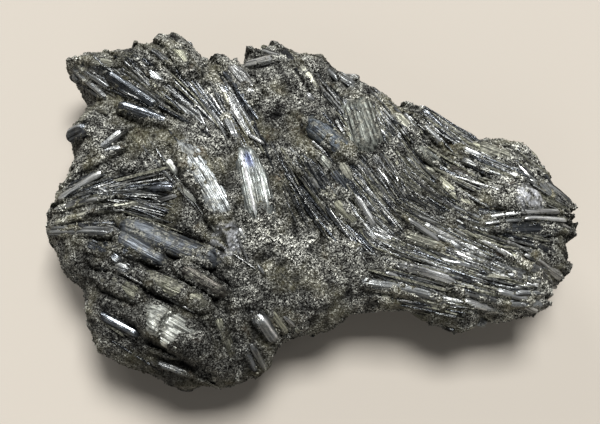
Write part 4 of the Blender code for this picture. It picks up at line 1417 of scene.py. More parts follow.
class Recipe(Graph):
    """A Geometry Nodes tree with named inputs, and the modifier that runs it."""

    def __init__(self, name: str) -> None:
        """Start a tree that takes and gives a geometry.

        Args:
            name: The tree's name.
        """
        super().__init__(bpy.data.node_groups.new(name, "GeometryNodeTree"))
        self.face = self.tree.interface
        self.face.new_socket("Geometry", in_out="INPUT", socket_type="NodeSocketGeometry")
        self.face.new_socket("Geometry", in_out="OUTPUT", socket_type="NodeSocketGeometry")
        self.group_in = self.add("NodeGroupInput")
        self.sockets: dict[str, str] = {}
        self.material = self.takes("Material", "Material")
        self.seed = self.takes("Seed", "Int")

    def takes(self, name: str, kind: str = "Float") -> Socket:
        """Add a named input and return its socket inside the tree."""
        item = self.face.new_socket(name, in_out="INPUT", socket_type=f"NodeSocket{kind}")
        self.sockets[name] = item.identifier
        return self.group_in.outputs[name]

    def named(self, name: str, kind: str = "FLOAT_VECTOR") -> Socket:
        """Return the value of a mesh attribute."""
        node = self.add("GeometryNodeInputNamedAttribute", {"Name": name}, data_type=kind)
        return node.outputs[0]

    @property
    def geometry(self) -> Socket:
        """The geometry that comes in."""
        return self.group_in.outputs["Geometry"]

    @property
    def place(self) -> Socket:
        """The place of each point."""
        return self.add("GeometryNodeInputPosition").outputs[0]

    def random_vector(self, low: float, high: float) -> Socket:
        """Return a random vector for each point, with each part between two values."""
        values = {0: (low,) * 3, 1: (high,) * 3, "Seed": self.seed}
        kind = "FunctionNodeRandomValue"
        return self.add(kind, values, data_type="FLOAT_VECTOR").outputs[0]

    def random_value(self, low: Value, high: Value) -> Socket:
        """Return a random value for each point, between two values or sockets."""
        values = {2: low, 3: high, "Seed": self.seed}
        return self.add("FunctionNodeRandomValue", values, data_type="FLOAT").outputs[1]

    def scattered(self, points: Socket, rotation: Socket, scale: Socket) -> Socket:
        """Return one of the kinds, picked at random, on every point.

        Args:
            points: Where they stand.
            rotation: How each is turned.
            scale: How large each is.

        Returns:
            The instances.
        """
        values = {"Collection": self.takes("Kinds", "Collection"), "Separate Children": True,
                  "Reset Children": True}
        pool = self.add("GeometryNodeCollectionInfo", values).outputs[0]
        values = {"Points": points, "Instance": pool, "Pick Instance": True,
                  "Rotation": rotation, "Scale": scale}
        return self.add("GeometryNodeInstanceOnPoints", values).outputs[0]

    def realized(self, instances: Socket) -> Socket:
        """Return instances made real."""
        return self.add("GeometryNodeRealizeInstances", {0: instances}).outputs[0]

    def ends_with(self, result: Socket) -> None:
        """Close the tree: what is left of instances is made real, and all is dressed."""
        values = {"Geometry": self.realized(result), "Material": self.material}
        dressed = self.add("GeometryNodeSetMaterial", values).outputs[0]
        self.add("NodeGroupOutput", {0: dressed})

    def baked(self, obj: Thing, name: str, kinds: Sequence[Mesh] = (),
              **values: Union[float, Material]) -> Mesh:
        """Run the tree on an object, and return the mesh that it makes.

        Args:
            obj: The object, which is used up.
            name: The mesh's name.
            kinds: The meshes that the tree scatters.
            **values: Inputs by name, with underscores for spaces.

        Returns:
            The mesh.
        """
        pool = bpy.data.collections.new(f"{name} kinds")
        for mesh in kinds:
            pool.objects.link(bpy.data.objects.new(mesh.name, mesh))
        if kinds:
            values["Kinds"] = pool
        modifier = obj.modifiers.new(self.tree.name, "NODES")
        modifier.node_group = self.tree
        for key, value in values.items():
            modifier[self.sockets[key.replace("_", " ")]] = value
        depsgraph = bpy.context.evaluated_depsgraph_get()
        depsgraph.update()
        baked = bpy.data.meshes.new_from_object(obj.evaluated_get(depsgraph))
        baked.name = name
        for used in (obj, *pool.objects):
            bpy.data.objects.remove(used, do_unlink=True)
        bpy.data.collections.remove(pool)
        return baked


def new_material(name: str, metallic: float) -> tuple[Graph, Node]:
    """Return the graph and the Principled shader of a new material."""
    material = bpy.data.materials.new(name)
    material.use_nodes = True
    shader = material.node_tree.nodes["Principled BSDF"]
    shader.inputs["Metallic"].default_value = metallic
    shader.inputs["Specular Tint"].default_value = (*EDGE_TINT, 1.0)
    return Graph(material.node_tree), shader


@dataclass(frozen=True)
class GroundFinish:
    """The fine-grained mass: dull metal with bright, olive and brown grains, with painted shade in
    its hollows and painted light and shade over patches.
    """

    name: str = "grainy sulphide"
    grain: float = 0.065
    mound: float = 0.9
    olive_patch: float = 2.2
    rust_patch: float = 1.1
    sheen_patch: float = 0.35
    relief: float = 0.08
    relief_depth: float = 0.04
    relief_strength: float = 0.6
    metallic: float = 0.55
    rarity: float = 1.7
    mound_light: tuple[float, float] = (0.35, 1.5)
    olive_share: float = 0.5
    rust_share: float = 0.45
    sheen_share: float = 0.8
    roughness: tuple[float, float] = (0.48, 0.8)
    sheen_gloss: float = 0.2
    # the near-black of the painted shade in hollows, pits and grooves
    hollow_shade_colour: Colour = (0.003, 0.003, 0.003)
    dark: Colour = (0.01, 0.01, 0.009)
    light: Colour = (0.5, 0.5, 0.45)
    silver: Colour = (0.42, 0.43, 0.45)
    olive: Colour = (0.15, 0.14, 0.085)
    brown: Colour = (0.075, 0.05, 0.036)

    def material(self) -> Material:
        """Return the finish as a material."""
        graph, shader = new_material(self.name, self.metallic)
        place = graph.add("ShaderNodeTexCoord").outputs["Object"]
        depth, sheen, shade = (
            graph.attribute(name).outputs["Fac"] for name in ("depth", "sheen", "shade")
        )
        speckle = graph.add("ShaderNodeSeparateColor", {0: graph.cells(place, self.grain * MM)})
        bright, dull = speckle.outputs[0], speckle.outputs[1]
        bright = graph.math("POWER", graph.ramp(bright, 0.25, 1.0), self.rarity)
        colour = graph.mix(bright, self.dark, self.light)
        mounds = graph.noise(place, self.mound * MM, 3.0)
        mounds = graph.ramp(mounds, 0.36, 0.66, *self.mound_light)
        colour = graph.vector("SCALE", colour, scale=mounds)
        warm = graph.noise(place, self.olive_patch * MM, 4.0)
        warm = graph.ramp(warm, 0.48, 0.7, 0.0, self.olive_share)
        colour = graph.mix(warm, colour, self.olive)
        rust = graph.noise(place, self.rust_patch * MM, 5.0)
        rust = graph.ramp(rust, 0.62, 0.75, 0.0, self.rust_share)
        colour = graph.mix(rust, colour, self.brown)
        smooth = graph.ramp(graph.noise(place, self.sheen_patch * MM, 3.0), 0.4, 0.6)
        smooth = graph.math("MULTIPLY", smooth, sheen)
        colour = graph.mix(graph.math("MULTIPLY", smooth, self.sheen_share), colour, self.silver)
        # painted light and shade: the colour is scaled by the shade attribute, and goes towards
        # near black by the depth attribute in hollows, pits and grooves
        colour = graph.mix(depth, graph.vector("SCALE", colour, scale=shade), self.hollow_shade_colour)
        rough = graph.ramp(dull, 0.0, 1.0, *self.roughness)
        rough = graph.math("MULTIPLY_ADD", smooth, -self.sheen_gloss, rough)
        relief = graph.noise(place, self.relief * MM, 3.0)
        graph.finish(shader, relief, self.relief_strength, self.relief_depth * MM,
                     {"Base Color": colour, "Roughness": rough})
        return bpy.data.materials[self.name]


@dataclass(frozen=True)
class CylinderFinish:
    """Striated metal whose colour and polish each crystal carries as its tone."""

    name: str = "striated cylinder"
    streak: float = 0.16
    fine_streak: float = 0.06
    drawn_out: float = 0.05
    grain: float = 0.1
    pit: float = 0.11
    dust_patch: float = 0.5
    polished_dust: float = 0.25
    streak_light: tuple[float, float] = (0.2, 1.8)
    metallic: float = 0.5
    polished_metallic: float = 0.4
    roughness: float = 0.5
    polished_gloss: float = 0.34
    dusty_metallic: float = -0.3
    dusty_roughness: float = 0.25
    relief_depth: float = 0.06
    dark_dust: Colour = (0.02, 0.02, 0.018)
    light_dust: Colour = (0.27, 0.265, 0.22)

    def streaks(self, graph: Graph, size: float, detail: float) -> Socket:
        """Return a noise that is drawn out along each crystal."""
        growth = graph.attribute("growth").outputs["Vector"]
        drawn = (1.0 / size, 1.0 / size, self.drawn_out / size)
        scaled = graph.vector("MULTIPLY", growth, drawn)
        return graph.noise(scaled, 1.0, detail)

    def material(self) -> Material:
        """Return the finish as a material."""
        graph, shader = new_material(self.name, metallic=1.0)
        tone = graph.attribute("tone").outputs
        polish = tone["Alpha"]
        place = graph.add("ShaderNodeTexCoord").outputs["Object"]
        wide = self.streaks(graph, self.streak, 2.0)
        fine = self.streaks(graph, self.fine_streak, 1.0)
        relief = graph.math("MULTIPLY_ADD", wide, 0.7, fine)
        relief = graph.math("MULTIPLY_ADD", graph.noise(place, self.pit * MM, 2.0), 0.35, relief)
        dusty = graph.ramp(graph.noise(place, self.dust_patch * MM, 6.0), 0.44, 0.6)
        dulled = graph.ramp(polish, 0.0, 1.0, 1.0, self.polished_dust)
        dusty = graph.math("MULTIPLY", dusty, dulled)
        cells = graph.cells(place, self.grain * MM)
        grain = graph.add("ShaderNodeSeparateColor", {0: cells}).outputs[0]
        dust = graph.mix(graph.math("MULTIPLY", grain, grain), self.dark_dust, self.light_dust)
        light = graph.ramp(wide, 0.34, 0.66, *self.streak_light)
        colour = graph.mix(dusty, graph.vector("SCALE", tone["Color"], scale=light), dust)
        metal = graph.math("MULTIPLY_ADD", polish, self.polished_metallic, self.metallic)
        metal = graph.math("MULTIPLY_ADD", dusty, self.dusty_metallic, metal)
        rough = graph.math("MULTIPLY_ADD", polish, -self.polished_gloss, self.roughness)
        rough = graph.math("MULTIPLY_ADD", dusty, self.dusty_roughness, rough)
        rough = graph.math("MULTIPLY_ADD", fine, 0.1, rough)
        strength = graph.math("MULTIPLY_ADD", polish, -0.6, 1.15)
        graph.finish(shader, relief, strength, self.relief_depth * MM,
                     {"Base Color": colour, "Roughness": rough, "Metallic": metal})
        return bpy.data.materials[self.name]


@dataclass(frozen=True)
class Footprint:
    """The places of the top face that lie near one settled cylinder."""

    axis: Axis
    style: CylinderStyle
    near: Array
    share: Array
    end: Array
    off: Array

    @classmethod
    def of(cls, axis: Axis, x: Array, y: Array, margin: float) -> "Footprint":
        """Return the footprint of a cylinder.

        Args:
            axis: The cylinder.
            x, y: The places, along and across.
            margin: How far from the cylinder's side places still count.

        Returns:
            The footprint, with the numbers of the places, how far along each is as a share, how
            far inside the nearer end, and how far from the axis.
        """
        end_margin = 1.5
        a, b = axis.start, axis.end
        length = math.hypot(b.x - a.x, b.y - a.y)
        fx, fy = (b.x - a.x) / length, (b.y - a.y) / length
        along = (x - a.x) * fx + (y - a.y) * fy
        off = np.abs((y - a.y) * fx - (x - a.x) * fy)
        near = (along > -end_margin) & (along < length + end_margin) & (off < axis.radius + margin)
        near = np.nonzero(near)[0]
        along, off = along[near], off[near]
        share, end = np.clip(along / length, 0.0, 1.0), np.minimum(along, length - along)
        return cls(axis, style_of(axis), near, share, end, off)

    def closeness(self, width: float) -> Array:
        """Return 1 on the cylinder, falling to 0 at some widths from its side."""
        flank = np.maximum(self.off - self.axis.radius, 0.0)
        return np.exp(-((flank / width) ** 2))

    def crest(self) -> tuple[Array, Array]:
        """Return the height of the cylinder's upper side, and its half width."""
        axis, style = self.axis, self.style
        narrow = np.maximum(1.0 - self.end / (axis.radius * style.narrowing_reach), 0.0)
        girth = axis.radius * (1.0 - style.narrowing * np.minimum(narrow, 1.0) ** 2)
        girth *= 1.0 - style.head_narrowing * np.maximum(1.0 - 2.0 * self.share, 0.0)
        crest = axis.start.z + (axis.end.z - axis.start.z) * self.share
        crest -= end_sink(axis, style.dip, self.share)
        crest += style.flatness * np.sqrt(np.maximum(girth**2 - self.off**2, 0.0))
        return crest, girth

    def cover(self, patches: Array) -> Array:
        """Return how thick the crust of grains is, given the crust's own patches."""
        axis, style = self.axis, self.style
        cover = patches[self.near] - axis.tone.bareness - style.bareness
        cover += style.flank_crust * (self.off / axis.radius) ** 2
        cover -= 0.7 * (self.share < style.crusted_from)
        return cover + 0.8 * np.exp(-np.maximum(self.end, 0.0) / (0.5 * axis.radius + 0.1))


@dataclass
class GroundMass:
    """The fine-grained mass that carries all the rest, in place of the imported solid."""

    layout: Layout
    pitch: float = 0.088
    rim_pitch: float = 0.13
    wall_rows: tuple[float, ...] = (0.006, 0.02, 0.045, 0.08, 0.125, 0.18, 0.25, 0.33, 0.42)
    under_pitch: float = 0.34
    under_rows: tuple[float, ...] = (0.01, 0.04, 0.1, 0.2, 0.36)
    edge_wobble: float = 0.1
    wobble_size: float = 0.6
    grid_reach: tuple[float, float] = (17.5, 12.0)
    moat_width: float = 0.28
    moat_depth: float = 0.55
    full_moat_radius: float = 0.6
    crust_height: float = 0.1
    crust_level: float = -0.25
    cover_size: float = 1.1
    fine_cover_size: float = 0.4
    gap_size: float = 1.7
    grit_patch: float = 0.9
    end_slope: float = 1.0
    full_shade_depth: float = 0.42
    pit_size: float = 0.3
    pit_depth: float = 0.1
    mound_size: float = 0.8
    fine_mound_size: float = 0.35
    mound_height: float = 0.26
    rib_width: float = 0.19
    rib_length: float = 1.5
    rib_height: float = 0.12
    rib_samples: int = 17
    flat_height: float = 0.08

    @staticmethod
    def inward(loop: Array) -> Array:
        """Return the level direction away from the rim at each of its places."""
        along = np.roll(loop, -1, axis=0) - np.roll(loop, 1, axis=0)
        along /= np.linalg.norm(along, axis=1)[:, None]
        return np.stack([along[:, 1], -along[:, 0]], axis=1)

    def rim_loop(self) -> Array:
        """Return the rim as evenly spaced places."""
        places = []
        for (ax, ay), (bx, by) in zip(RIM, RIM[1:] + RIM[:1]):
            parts = max(round(math.hypot(bx - ax, by - ay) / self.rim_pitch), 1)
            share = np.arange(parts) / parts
            places.append(np.stack([ax + share * (bx - ax), ay + share * (by - ay)], axis=1))
        loop = np.vstack(places)
        wobble = self.edge_wobble * noise_at(loop[:, 0], loop[:, 1], Sheet.RIM_EDGE,
                                             self.wobble_size)
        return loop + wobble[:, None] * self.inward(loop)

    def places(self, loop: Array, pitch: float, rows: Sequence[float]) -> Array:
        """Return places inside the rim: rows along it, and a staggered grid.

        Args:
            loop: The rim.
            pitch: The distance between the grid's places.
            rows: How far in each row is.

        Returns:
            The places, without the rim's own.
        """
        rng = np.random.default_rng(SEED)
        inward = self.inward(loop)
        stride = max(round(pitch / self.rim_pitch), 1)
        found = []
        for number, row in enumerate(rows):
            foot = (loop + row * inward)[number % 2 :: stride]
            found.append(foot[self.layout.shape.inside(foot) > 0.6 * row - 0.1])
        columns, lines = (np.arange(-reach, reach, pitch) for reach in self.grid_reach)
        x, y = np.meshgrid(columns, lines)
        x = x + 0.5 * pitch * (np.arange(len(lines)) % 2)[:, None]
        x = (x + rng.uniform(-0.3, 0.3, x.shape) * pitch).ravel()
        y = (y + rng.uniform(-0.3, 0.3, y.shape) * pitch).ravel()
        inside = self.layout.shape.rim_distance(x, y) > rows[-1] + 0.12
        found.append(np.stack([x[inside], y[inside]], axis=1))
        return np.vstack(found)

    def ribs(self, x: Array, y: Array) -> Array:
        """Return the fine ribs that follow the headings of the crystals, from -1 to 1.

        Args:
            x, y: The places, along and across.

        Returns:
            The relief at each place.
        """
        heading, agreement = self.layout.flow_at(x, y)
        total = np.zeros(x.shape)
        for reach in np.linspace(-self.rib_length, self.rib_length, self.rib_samples):
            total += noise_at(x + reach * np.cos(heading), y + reach * np.sin(heading),
                              Sheet.RIBS, self.rib_width)
        bare = 1.0 - 0.85 * nearest_patch(GRAINY_PATCHES, x, y)
        bare *= 0.2 + 0.8 * nearest_patch(BLADED_PATCHES, x, y)
        return np.clip(total / (1.6 * total.std()), -1.0, 1.0) * bare * agreement

    def top_relief(self, x: Array, y: Array) -> tuple[Array, ...]:
        """Return the height of the top face with its moats and crusts, and what covers it.

        Args:
            x, y: The places, along and across.

        Returns:
            The heights; three values from 0 to 1: a depth that paints shade into hollows, pits and
            grooves, the share of grit and the sheen of smooth patches; and the painted light and
            shade.
        """
        ribs = self.ribs(x, y)
        mounds = noise_at(x, y, Sheet.MOUNDS, self.mound_size)
        mounds += 0.4 * noise_at(x, y, Sheet.FINE_MOUNDS, self.fine_mound_size)
        patches = 0.75 * noise_at(x, y, Sheet.COVER, self.cover_size)
        patches += 0.45 * noise_at(x, y, Sheet.FINE_COVER, self.fine_cover_size)
        gaping = 0.75 + 1.3 * noise_at(x, y, Sheet.GAPS, self.gap_size)
        gaping = np.clip(gaping, 0.15, 1.0)
        beside, moat, crust = self.round_crystals(x, y, patches, gaping)
        ground = self.layout.shape.top_height(x, y)
        relief = self.rib_height * ribs + self.mound_height * mounds
        top = np.maximum(ground + (1.0 - beside) * relief - moat, crust)
        # painted shade: the deeper a place lies below the plain ground, in moats and hollows, the
        # darker it is painted
        depth = np.clip((ground - top) / self.full_shade_depth, 0.0, 1.0)
        pits = np.clip(2.5 * noise_at(x, y, Sheet.PITS, self.pit_size) - 0.6, 0.0, 1.0)
        top = top - self.pit_depth * pits
        # painted shade in the pits
        depth = np.maximum(depth, 0.5 * pits)
        # painted shade in the rib grooves, the low parts of the mounds and between the blades, away
        # from crystals and off the crust
        groove_shade = np.clip(-0.9 * ribs - 0.2, 0.0, 0.7) + np.clip(-mounds - 0.25, 0.0, 0.4)
        groove_shade += 0.3 * fibrous(x, y)
        depth = np.clip(depth + (1.0 - beside) * groove_shade * (crust < top), 0.0, 1.0)
        sheen = nearest_patch(SHEEN_PATCHES, x, y) * (patches + 0.8 > 0.0)
        grit = self.grit_share(x, y) * (1.0 - depth) * (1.0 - 0.8 * sheen)
        return top, depth, grit, sheen, shade_at(x, y)

    def round_crystals(self, x: Array, y: Array, patches: Array,
                       gaping: Array) -> tuple[Array, Array, Array]:
        """Return what the large and medium crystals do to the mass round them.

        Args:
            x, y: The places, along and across.
            patches: Where the crust of grains is thick, and where it is thin.
            gaping: How deep the moats are, as a share.

        Returns:
            How close places are to a crystal, the depth of the moat, and the height of the crust.
        """
        beside, moat = np.zeros(x.shape), np.zeros(x.shape)
        crust = np.full(x.shape, -np.inf)
        for axis in self.layout.settled(self.layout.large_and_medium):
            mark = Footprint.of(axis, x, y, 3.0 * self.moat_width)
            near, end = mark.near, mark.end
            close = mark.closeness(self.moat_width)
            depth = self.moat_depth * min(axis.radius / self.full_moat_radius, 1.0)
            depth *= mark.style.moat * gaping[near] * np.clip(end / 0.4, 0.0, 1.0)
            moat[near] = np.maximum(moat[near], depth * close)
            beside[near] = np.maximum(beside[near], close * np.clip(end / 0.3, 0.0, 1.0))
            crest, girth = mark.crest()
            cover = mark.cover(patches) + self.crust_level
            rise = np.clip(0.7 * cover, -0.4, self.crust_height)
            rise -= self.end_slope * np.maximum(-end, 0.0)
            over = np.where(mark.off < girth, crest + rise, -np.inf)
            crust[near] = np.maximum(crust[near], over)
        return beside, moat, crust

    def grit_share(self, x: Array, y: Array) -> Array:
        """Return how densely loose grains cover places, from 0 to 1."""
        share = 0.4 + 0.6 * nearest_patch(GRAINY_PATCHES, x, y)
        share *= 1.0 - 0.7 * fibrous(x, y)
        clumps = noise_at(x, y, Sheet.GRIT, self.grit_patch)
        return share * np.clip(0.75 + 1.2 * clumps, 0.1, 1.0)

    def skin(self) -> Mesh:
        """Return the closed skin of the mass before its grain is added."""
        shape = self.layout.shape
        loop = self.rim_loop()
        count = size = len(loop)
        points = [np.column_stack([loop, shape.rim_height(*loop.T)])]
        covers = [self.plain_cover(*loop.T)]
        faces = []
        border = [(i, (i + 1) % count) for i in range(count)]
        for under in (False, True):
            pitch, rows = ((self.under_pitch, self.under_rows) if under
                           else (self.pitch, self.wall_rows))
            flat = [Vector(place) for place in np.vstack([loop, self.places(loop, pitch, rows)])]
            places, _, cells, origins, *_ = geometry.delaunay_2d_cdt(flat, border, [], 1, 1e-6)
            numbers, fresh = self.numbered(origins, count, size)
            x, y = np.array([places[index][:] for index in fresh]).T
            if under:
                z, cover = shape.under_height(x, y), self.plain_cover(x, y)
            else:
                z, *cover = self.top_relief(x, y)
            points.append(np.column_stack([x, y, z]))
            covers.append(np.array(cover))
            turned = slice(None, None, -1) if under else slice(None)
            faces += [tuple(numbers[list(cell)][turned].tolist()) for cell in cells]
            size += len(fresh)
        mesh = bpy.data.meshes.new("ground skin")
        mesh.from_pydata(np.vstack(points).tolist(), [], self.without_doubles(faces, count))
        for name, values in zip(("depth", "grit", "sheen", "shade"), np.hstack(covers)):
            set_attribute(mesh, name, values)
        return mesh

    @staticmethod
    def numbered(origins: list[list[int]], count: int, size: int) -> tuple[Array, list[int]]:
        """Number the points of one side, so that those of the rim belong to both sides.

        Args:
            origins: Which of the given places each point comes from.
            count: How many places the rim has.
            size: How many points there are already.

        Returns:
            The number of every point, and which of them are new.
        """
        numbers, fresh = np.empty(len(origins), int), []
        for index, origin in enumerate(origins):
            first = min(origin, default=count)
            if first < count:
                numbers[index] = first
            else:
                numbers[index] = size + len(fresh)
                fresh.append(index)
        return numbers, fresh

    @staticmethod
    def plain_cover(x: Array, y: Array) -> Array:
        """Return the depth, grit, sheen and painted light and shade of places on the rim or the
        underside.
        """
        blank = np.zeros(x.shape)
        return np.array([blank, blank + 0.3, blank, shade_at(x, y)])

    @staticmethod
    def without_doubles(faces: list[tuple[int, ...]], count: int) -> list[tuple[int, ...]]:
        """Return faces without the flat ones that both sides have at the rim's corners.

        Args:
            faces: All the faces.
            count: How many points the rim has.

        Returns:
            The faces that stay.
        """
        corners: dict[frozenset[int], int] = {}
        for face in faces:
            if max(face) < count:
                key = frozenset(face)
                corners[key] = corners.get(key, 0) + 1
        return [face for face in faces if corners.get(frozenset(face), 1) == 1]

    @staticmethod
    def grain_recipe() -> Recipe:
        """Return the tree that roughens the skin with chips and grains."""
        recipe = Recipe("grain")

        def relief(name: str) -> Socket:
            """Return a random height for each of the cells of a named size."""
            size, height = recipe.takes(f"{name} size"), recipe.takes(f"{name} height")
            values = {"Vector": recipe.place, "Scale": recipe.math("DIVIDE", 1.0, size)}
            colour = recipe.add("ShaderNodeTexVoronoi", values).outputs["Color"]
            part = recipe.add("FunctionNodeSeparateColor", {0: colour}).outputs[0]
            return recipe.math("MULTIPLY", recipe.math("SUBTRACT", part, 0.5), height)

        normal = recipe.add("GeometryNodeInputNormal").outputs[0]
        outwards = recipe.math("ADD", relief("Chip"), relief("Grain"))
        outwards = recipe.vector("SCALE", normal, scale=outwards)
        shaken = recipe.vector("SCALE", recipe.random_vector(-1.0, 1.0),
                              scale=recipe.takes("Jitter"))
        height = recipe.add("ShaderNodeSeparateXYZ", {0: recipe.place}).outputs["Z"]
        free = recipe.math("GREATER_THAN", height, recipe.takes("Flat height"))
        offset = recipe.vector("SCALE", recipe.vector("ADD", outwards, shaken), scale=free)
        values = {"Geometry": recipe.geometry, "Offset": offset}
        recipe.ends_with(recipe.add("GeometryNodeSetPosition", values).outputs[0])
        return recipe

    def build(self, finish: Material) -> tuple[Thing, Thing]:
        """Return the dressed ground mass, and the grit that lies all over it."""
        mesh = self.grain_recipe().baked(
            placed("ground draft", self.skin()), "ground_mass",
            Chip_size=0.5, Chip_height=0.12, Grain_size=0.15, Grain_height=0.075,
            Jitter=0.032, Seed=SEED, Flat_height=self.flat_height, Material=finish,
        )
        grit = Grit().build(mesh.copy(), finish)
        return finished("ground_mass", mesh, smooth_angle=0.0), grit


@dataclass
class Cylinders:
    """The crystals that are made one by one."""

    layout: Layout
    finish: Material

    def piece(self, name: str, crystals: Sequence[Crystal], seed: int,
              others: Iterable[Axis] = ()) -> Thing:
        """Return one piece made of many crystals.

        Args:
            name: The piece's name.
            crystals: Those that lie on the top face, each made in its own style.
            seed: Where their unevenness starts.
            others: The axes of plain ones that lie elsewhere.

        Returns:
            The piece.
        """
        pile = CylinderPile()
        rng = np.random.default_rng(seed)
        for axis in self.layout.settled(crystals):
            pile.grow(axis, style_of(axis), rng)
        for axis in others:
            pile.grow(axis, WALL_ROD, rng)
        return pile.to_object(name, self.finish)

    def build(self) -> list[Thing]:
        """Return the large cylinders, the medium rods, and all the small ones."""
        layout = self.layout
        return [
            self.piece("barrel_crystals", LARGE_CRYSTALS, SEED),
            self.piece("rod_crystals", (*MEDIUM_CRYSTALS, *layout.bundled), ROD_SEED),
            self.piece("small_crystals", SMALL_CRYSTALS, SMALL_SEED,
                       layout.on_walls() + layout.on_underside()),
        ]


@dataclass
class Blades:
    """Thin blades and needles that follow the headings of the crystals round them."""

    layout: Layout
    count: int = 3600
    tries_each: int = 12
    reach: tuple[float, float] = (17.0, 11.5)
    lengths: tuple[float, float, float] = (0.8, 2.2, 6.0)
    radii: tuple[float, float] = (0.035, 0.12)
    turn: float = 3.0
    sparse_chance: float = 0.012
    dense_chance: float = 0.75
    clump_size: float = 1.1
    rim_margin: float = 0.25
    lift_share: float = 0.4
    loosest: float = 0.1
    highest_end: float = 0.22
    east_from: float = 2.0
    lightness: tuple[float, float] = (0.7, 1.3)
    western: tuple[Tone, ...] = (STEEL, DARK, OLIVE, DARK, STEEL, SILVER)
    eastern: tuple[Tone, ...] = (SILVER, STEEL, PALE, DARK, STEEL, OLIVE)
    sections: tuple[Place, ...] = ((-0.5, 0.6), (-0.38, 1.0), (0.38, 0.92), (0.5, 0.5))
    variants: int = 6
    sides: int = 5
    streaks_apart: float = 40.0

    def variant(self, index: int) -> Mesh:
        """Return one blade of unit radius and unit length along Z, with an uneven girth."""
        rng = random.Random(BLADE_SHAPE_SEED + index)
        girths = [rng.uniform(0.75, 1.15) for _ in range(self.sides)]
        points, faces = [], [range(self.sides)[::-1]]
        for height, size in self.sections:
            for i, girth in enumerate(girths):
                angle, reach = math.tau * i / self.sides, girth * size
                lean = 0.04 * math.sin(angle + index)
                points.append((math.cos(angle) * reach, 0.7 * math.sin(angle) * reach,
                               height + lean))
        for low in range(0, len(points) - self.sides, self.sides):
            for i in range(self.sides):
                a, b = low + i, low + (i + 1) % self.sides
                faces.append((a, b, b + self.sides, a + self.sides))
        faces.append(range(len(points))[-self.sides:])
        mesh = bpy.data.meshes.new(f"blade {index}")
        mesh.from_pydata(points, [], faces)
        return mesh

    def chance(self, x: Array, y: Array, agreement: Array) -> Array:
        """Return how likely a blade is at places, where headings agree by some share.

        Args:
            x, y: The places, along and across.
            agreement: How well the crystals round each place agree.

        Returns:
            The chances, from 0 to 1.
        """
        chance = self.dense_chance * nearest_patch(BLADED_PATCHES, x, y) * agreement**2
        chance += self.sparse_chance
        chance *= np.clip(0.6 + 2.5 * noise_at(x, y, Sheet.CLUMPS, self.clump_size), 0.0, 1.0)
        return chance * (1.0 - 0.9 * nearest_patch(GRAINY_PATCHES, x, y))

    def places(self) -> Thing:
        """Return the points that blades stand on, with each one's direction, size and tone."""
        rng = np.random.default_rng(BLADE_SEED)
        shape = self.layout.shape
        tries = self.count * self.tries_each
        x, y = (rng.uniform(-reach, reach, tries) for reach in self.reach)
        heading, agreement = self.layout.flow_at(x, y)
        heading += np.radians(rng.normal(0.0, self.turn, tries))
        length = rng.triangular(*self.lengths, tries)
        radius = rng.uniform(*self.radii, tries)
        half = 0.5 * length[:, None] * np.column_stack([np.cos(heading), np.sin(heading)])
        middle = np.column_stack([x, y])
        starts, ends = middle - half, middle + half
        inside = np.minimum(shape.inside(starts), shape.inside(ends))
        kept = (rng.random(tries) < self.chance(x, y, agreement)) & (inside > self.rim_margin)
        kept = np.nonzero(kept)[0][: self.count]
        lifts = self.lift_share * radius[kept] + rng.uniform(0.0, self.loosest, len(kept))
        low, high = shape.laid(starts[kept], ends[kept], lifts)
        loose = [tips[:, 2] - shape.top_height(tips[:, 0], tips[:, 1]) for tips in (low, high)]
        lying = np.max(loose, axis=0) < self.highest_end
        kept, low, high = kept[lying], low[lying], high[lying]
        spans = np.linalg.norm(high - low, axis=1)
        points = (low + high) / 2
        mesh = bpy.data.meshes.new("blade places")
        mesh.from_pydata(points.tolist(), [], [])
        set_attribute(mesh, "way", (high - low) / spans[:, None])
        set_attribute(mesh, "size", np.column_stack([radius[kept], radius[kept], spans]))
        set_attribute(mesh, "tone", self.tones(points, x[kept] > self.east_from, rng))
        return placed("blade places", mesh)

    def tones(self, points: Array, east: Array, rng: Dice) -> Array:
        """Return the colour and polish of blades at points, of which some lie in the east.

        Args:
            points: The middles of the blades.
            east: Which of them lie in the east.
            rng: The source of their finishes.

        Returns:
            Four values for each.
        """
        picks = rng.integers(0, len(self.western), len(points))
        # random lightness, times the painted light and shade of the area, partly real staining
        shades = rng.uniform(*self.lightness, len(points)) * shade_at(points[:, 0], points[:, 1])
        found = [(self.eastern if far else self.western)[pick] for far, pick in zip(east, picks)]
        return np.array([
            (*(shade * part for part in tone.colour), tone.polish)
            for tone, shade in zip(found, shades)
        ])

    def recipe(self) -> Recipe:
        """Return the tree that puts a blade on every point."""
        recipe = Recipe("blades")
        way, size = recipe.named("way"), recipe.named("size")
        aligned = recipe.add("FunctionNodeAlignRotationToVector", {"Vector": way}, axis="Z")
        values = {"Axis": (0.0, 0.0, 1.0), "Angle": recipe.random_value(0.0, math.tau)}
        roll = recipe.add("FunctionNodeAxisAngleToRotation", values)
        values = {0: aligned.outputs[0], 1: roll.outputs[0]}
        rolled = recipe.add("FunctionNodeRotateRotation", values, rotation_space="LOCAL")
        blades = recipe.realized(recipe.scattered(recipe.geometry, rolled.outputs[0], size))
        apart = recipe.vector("SCALE", size, scale=self.streaks_apart)
        growth = recipe.vector("ADD", recipe.place, apart)
        values = {"Geometry": blades, "Name": "growth", "Value": growth}
        stored = recipe.add("GeometryNodeStoreNamedAttribute", values, data_type="FLOAT_VECTOR",
                           domain="POINT")
        recipe.ends_with(stored.outputs[0])
        return recipe

    def build(self, finish: Material) -> Thing:
        """Return all the blades as one piece."""
        kinds = [self.variant(index) for index in range(self.variants)]
        mesh = self.recipe().baked(self.places(), "blades", kinds, Seed=SEED, Material=finish)
        return finished("blade_crystals", mesh)


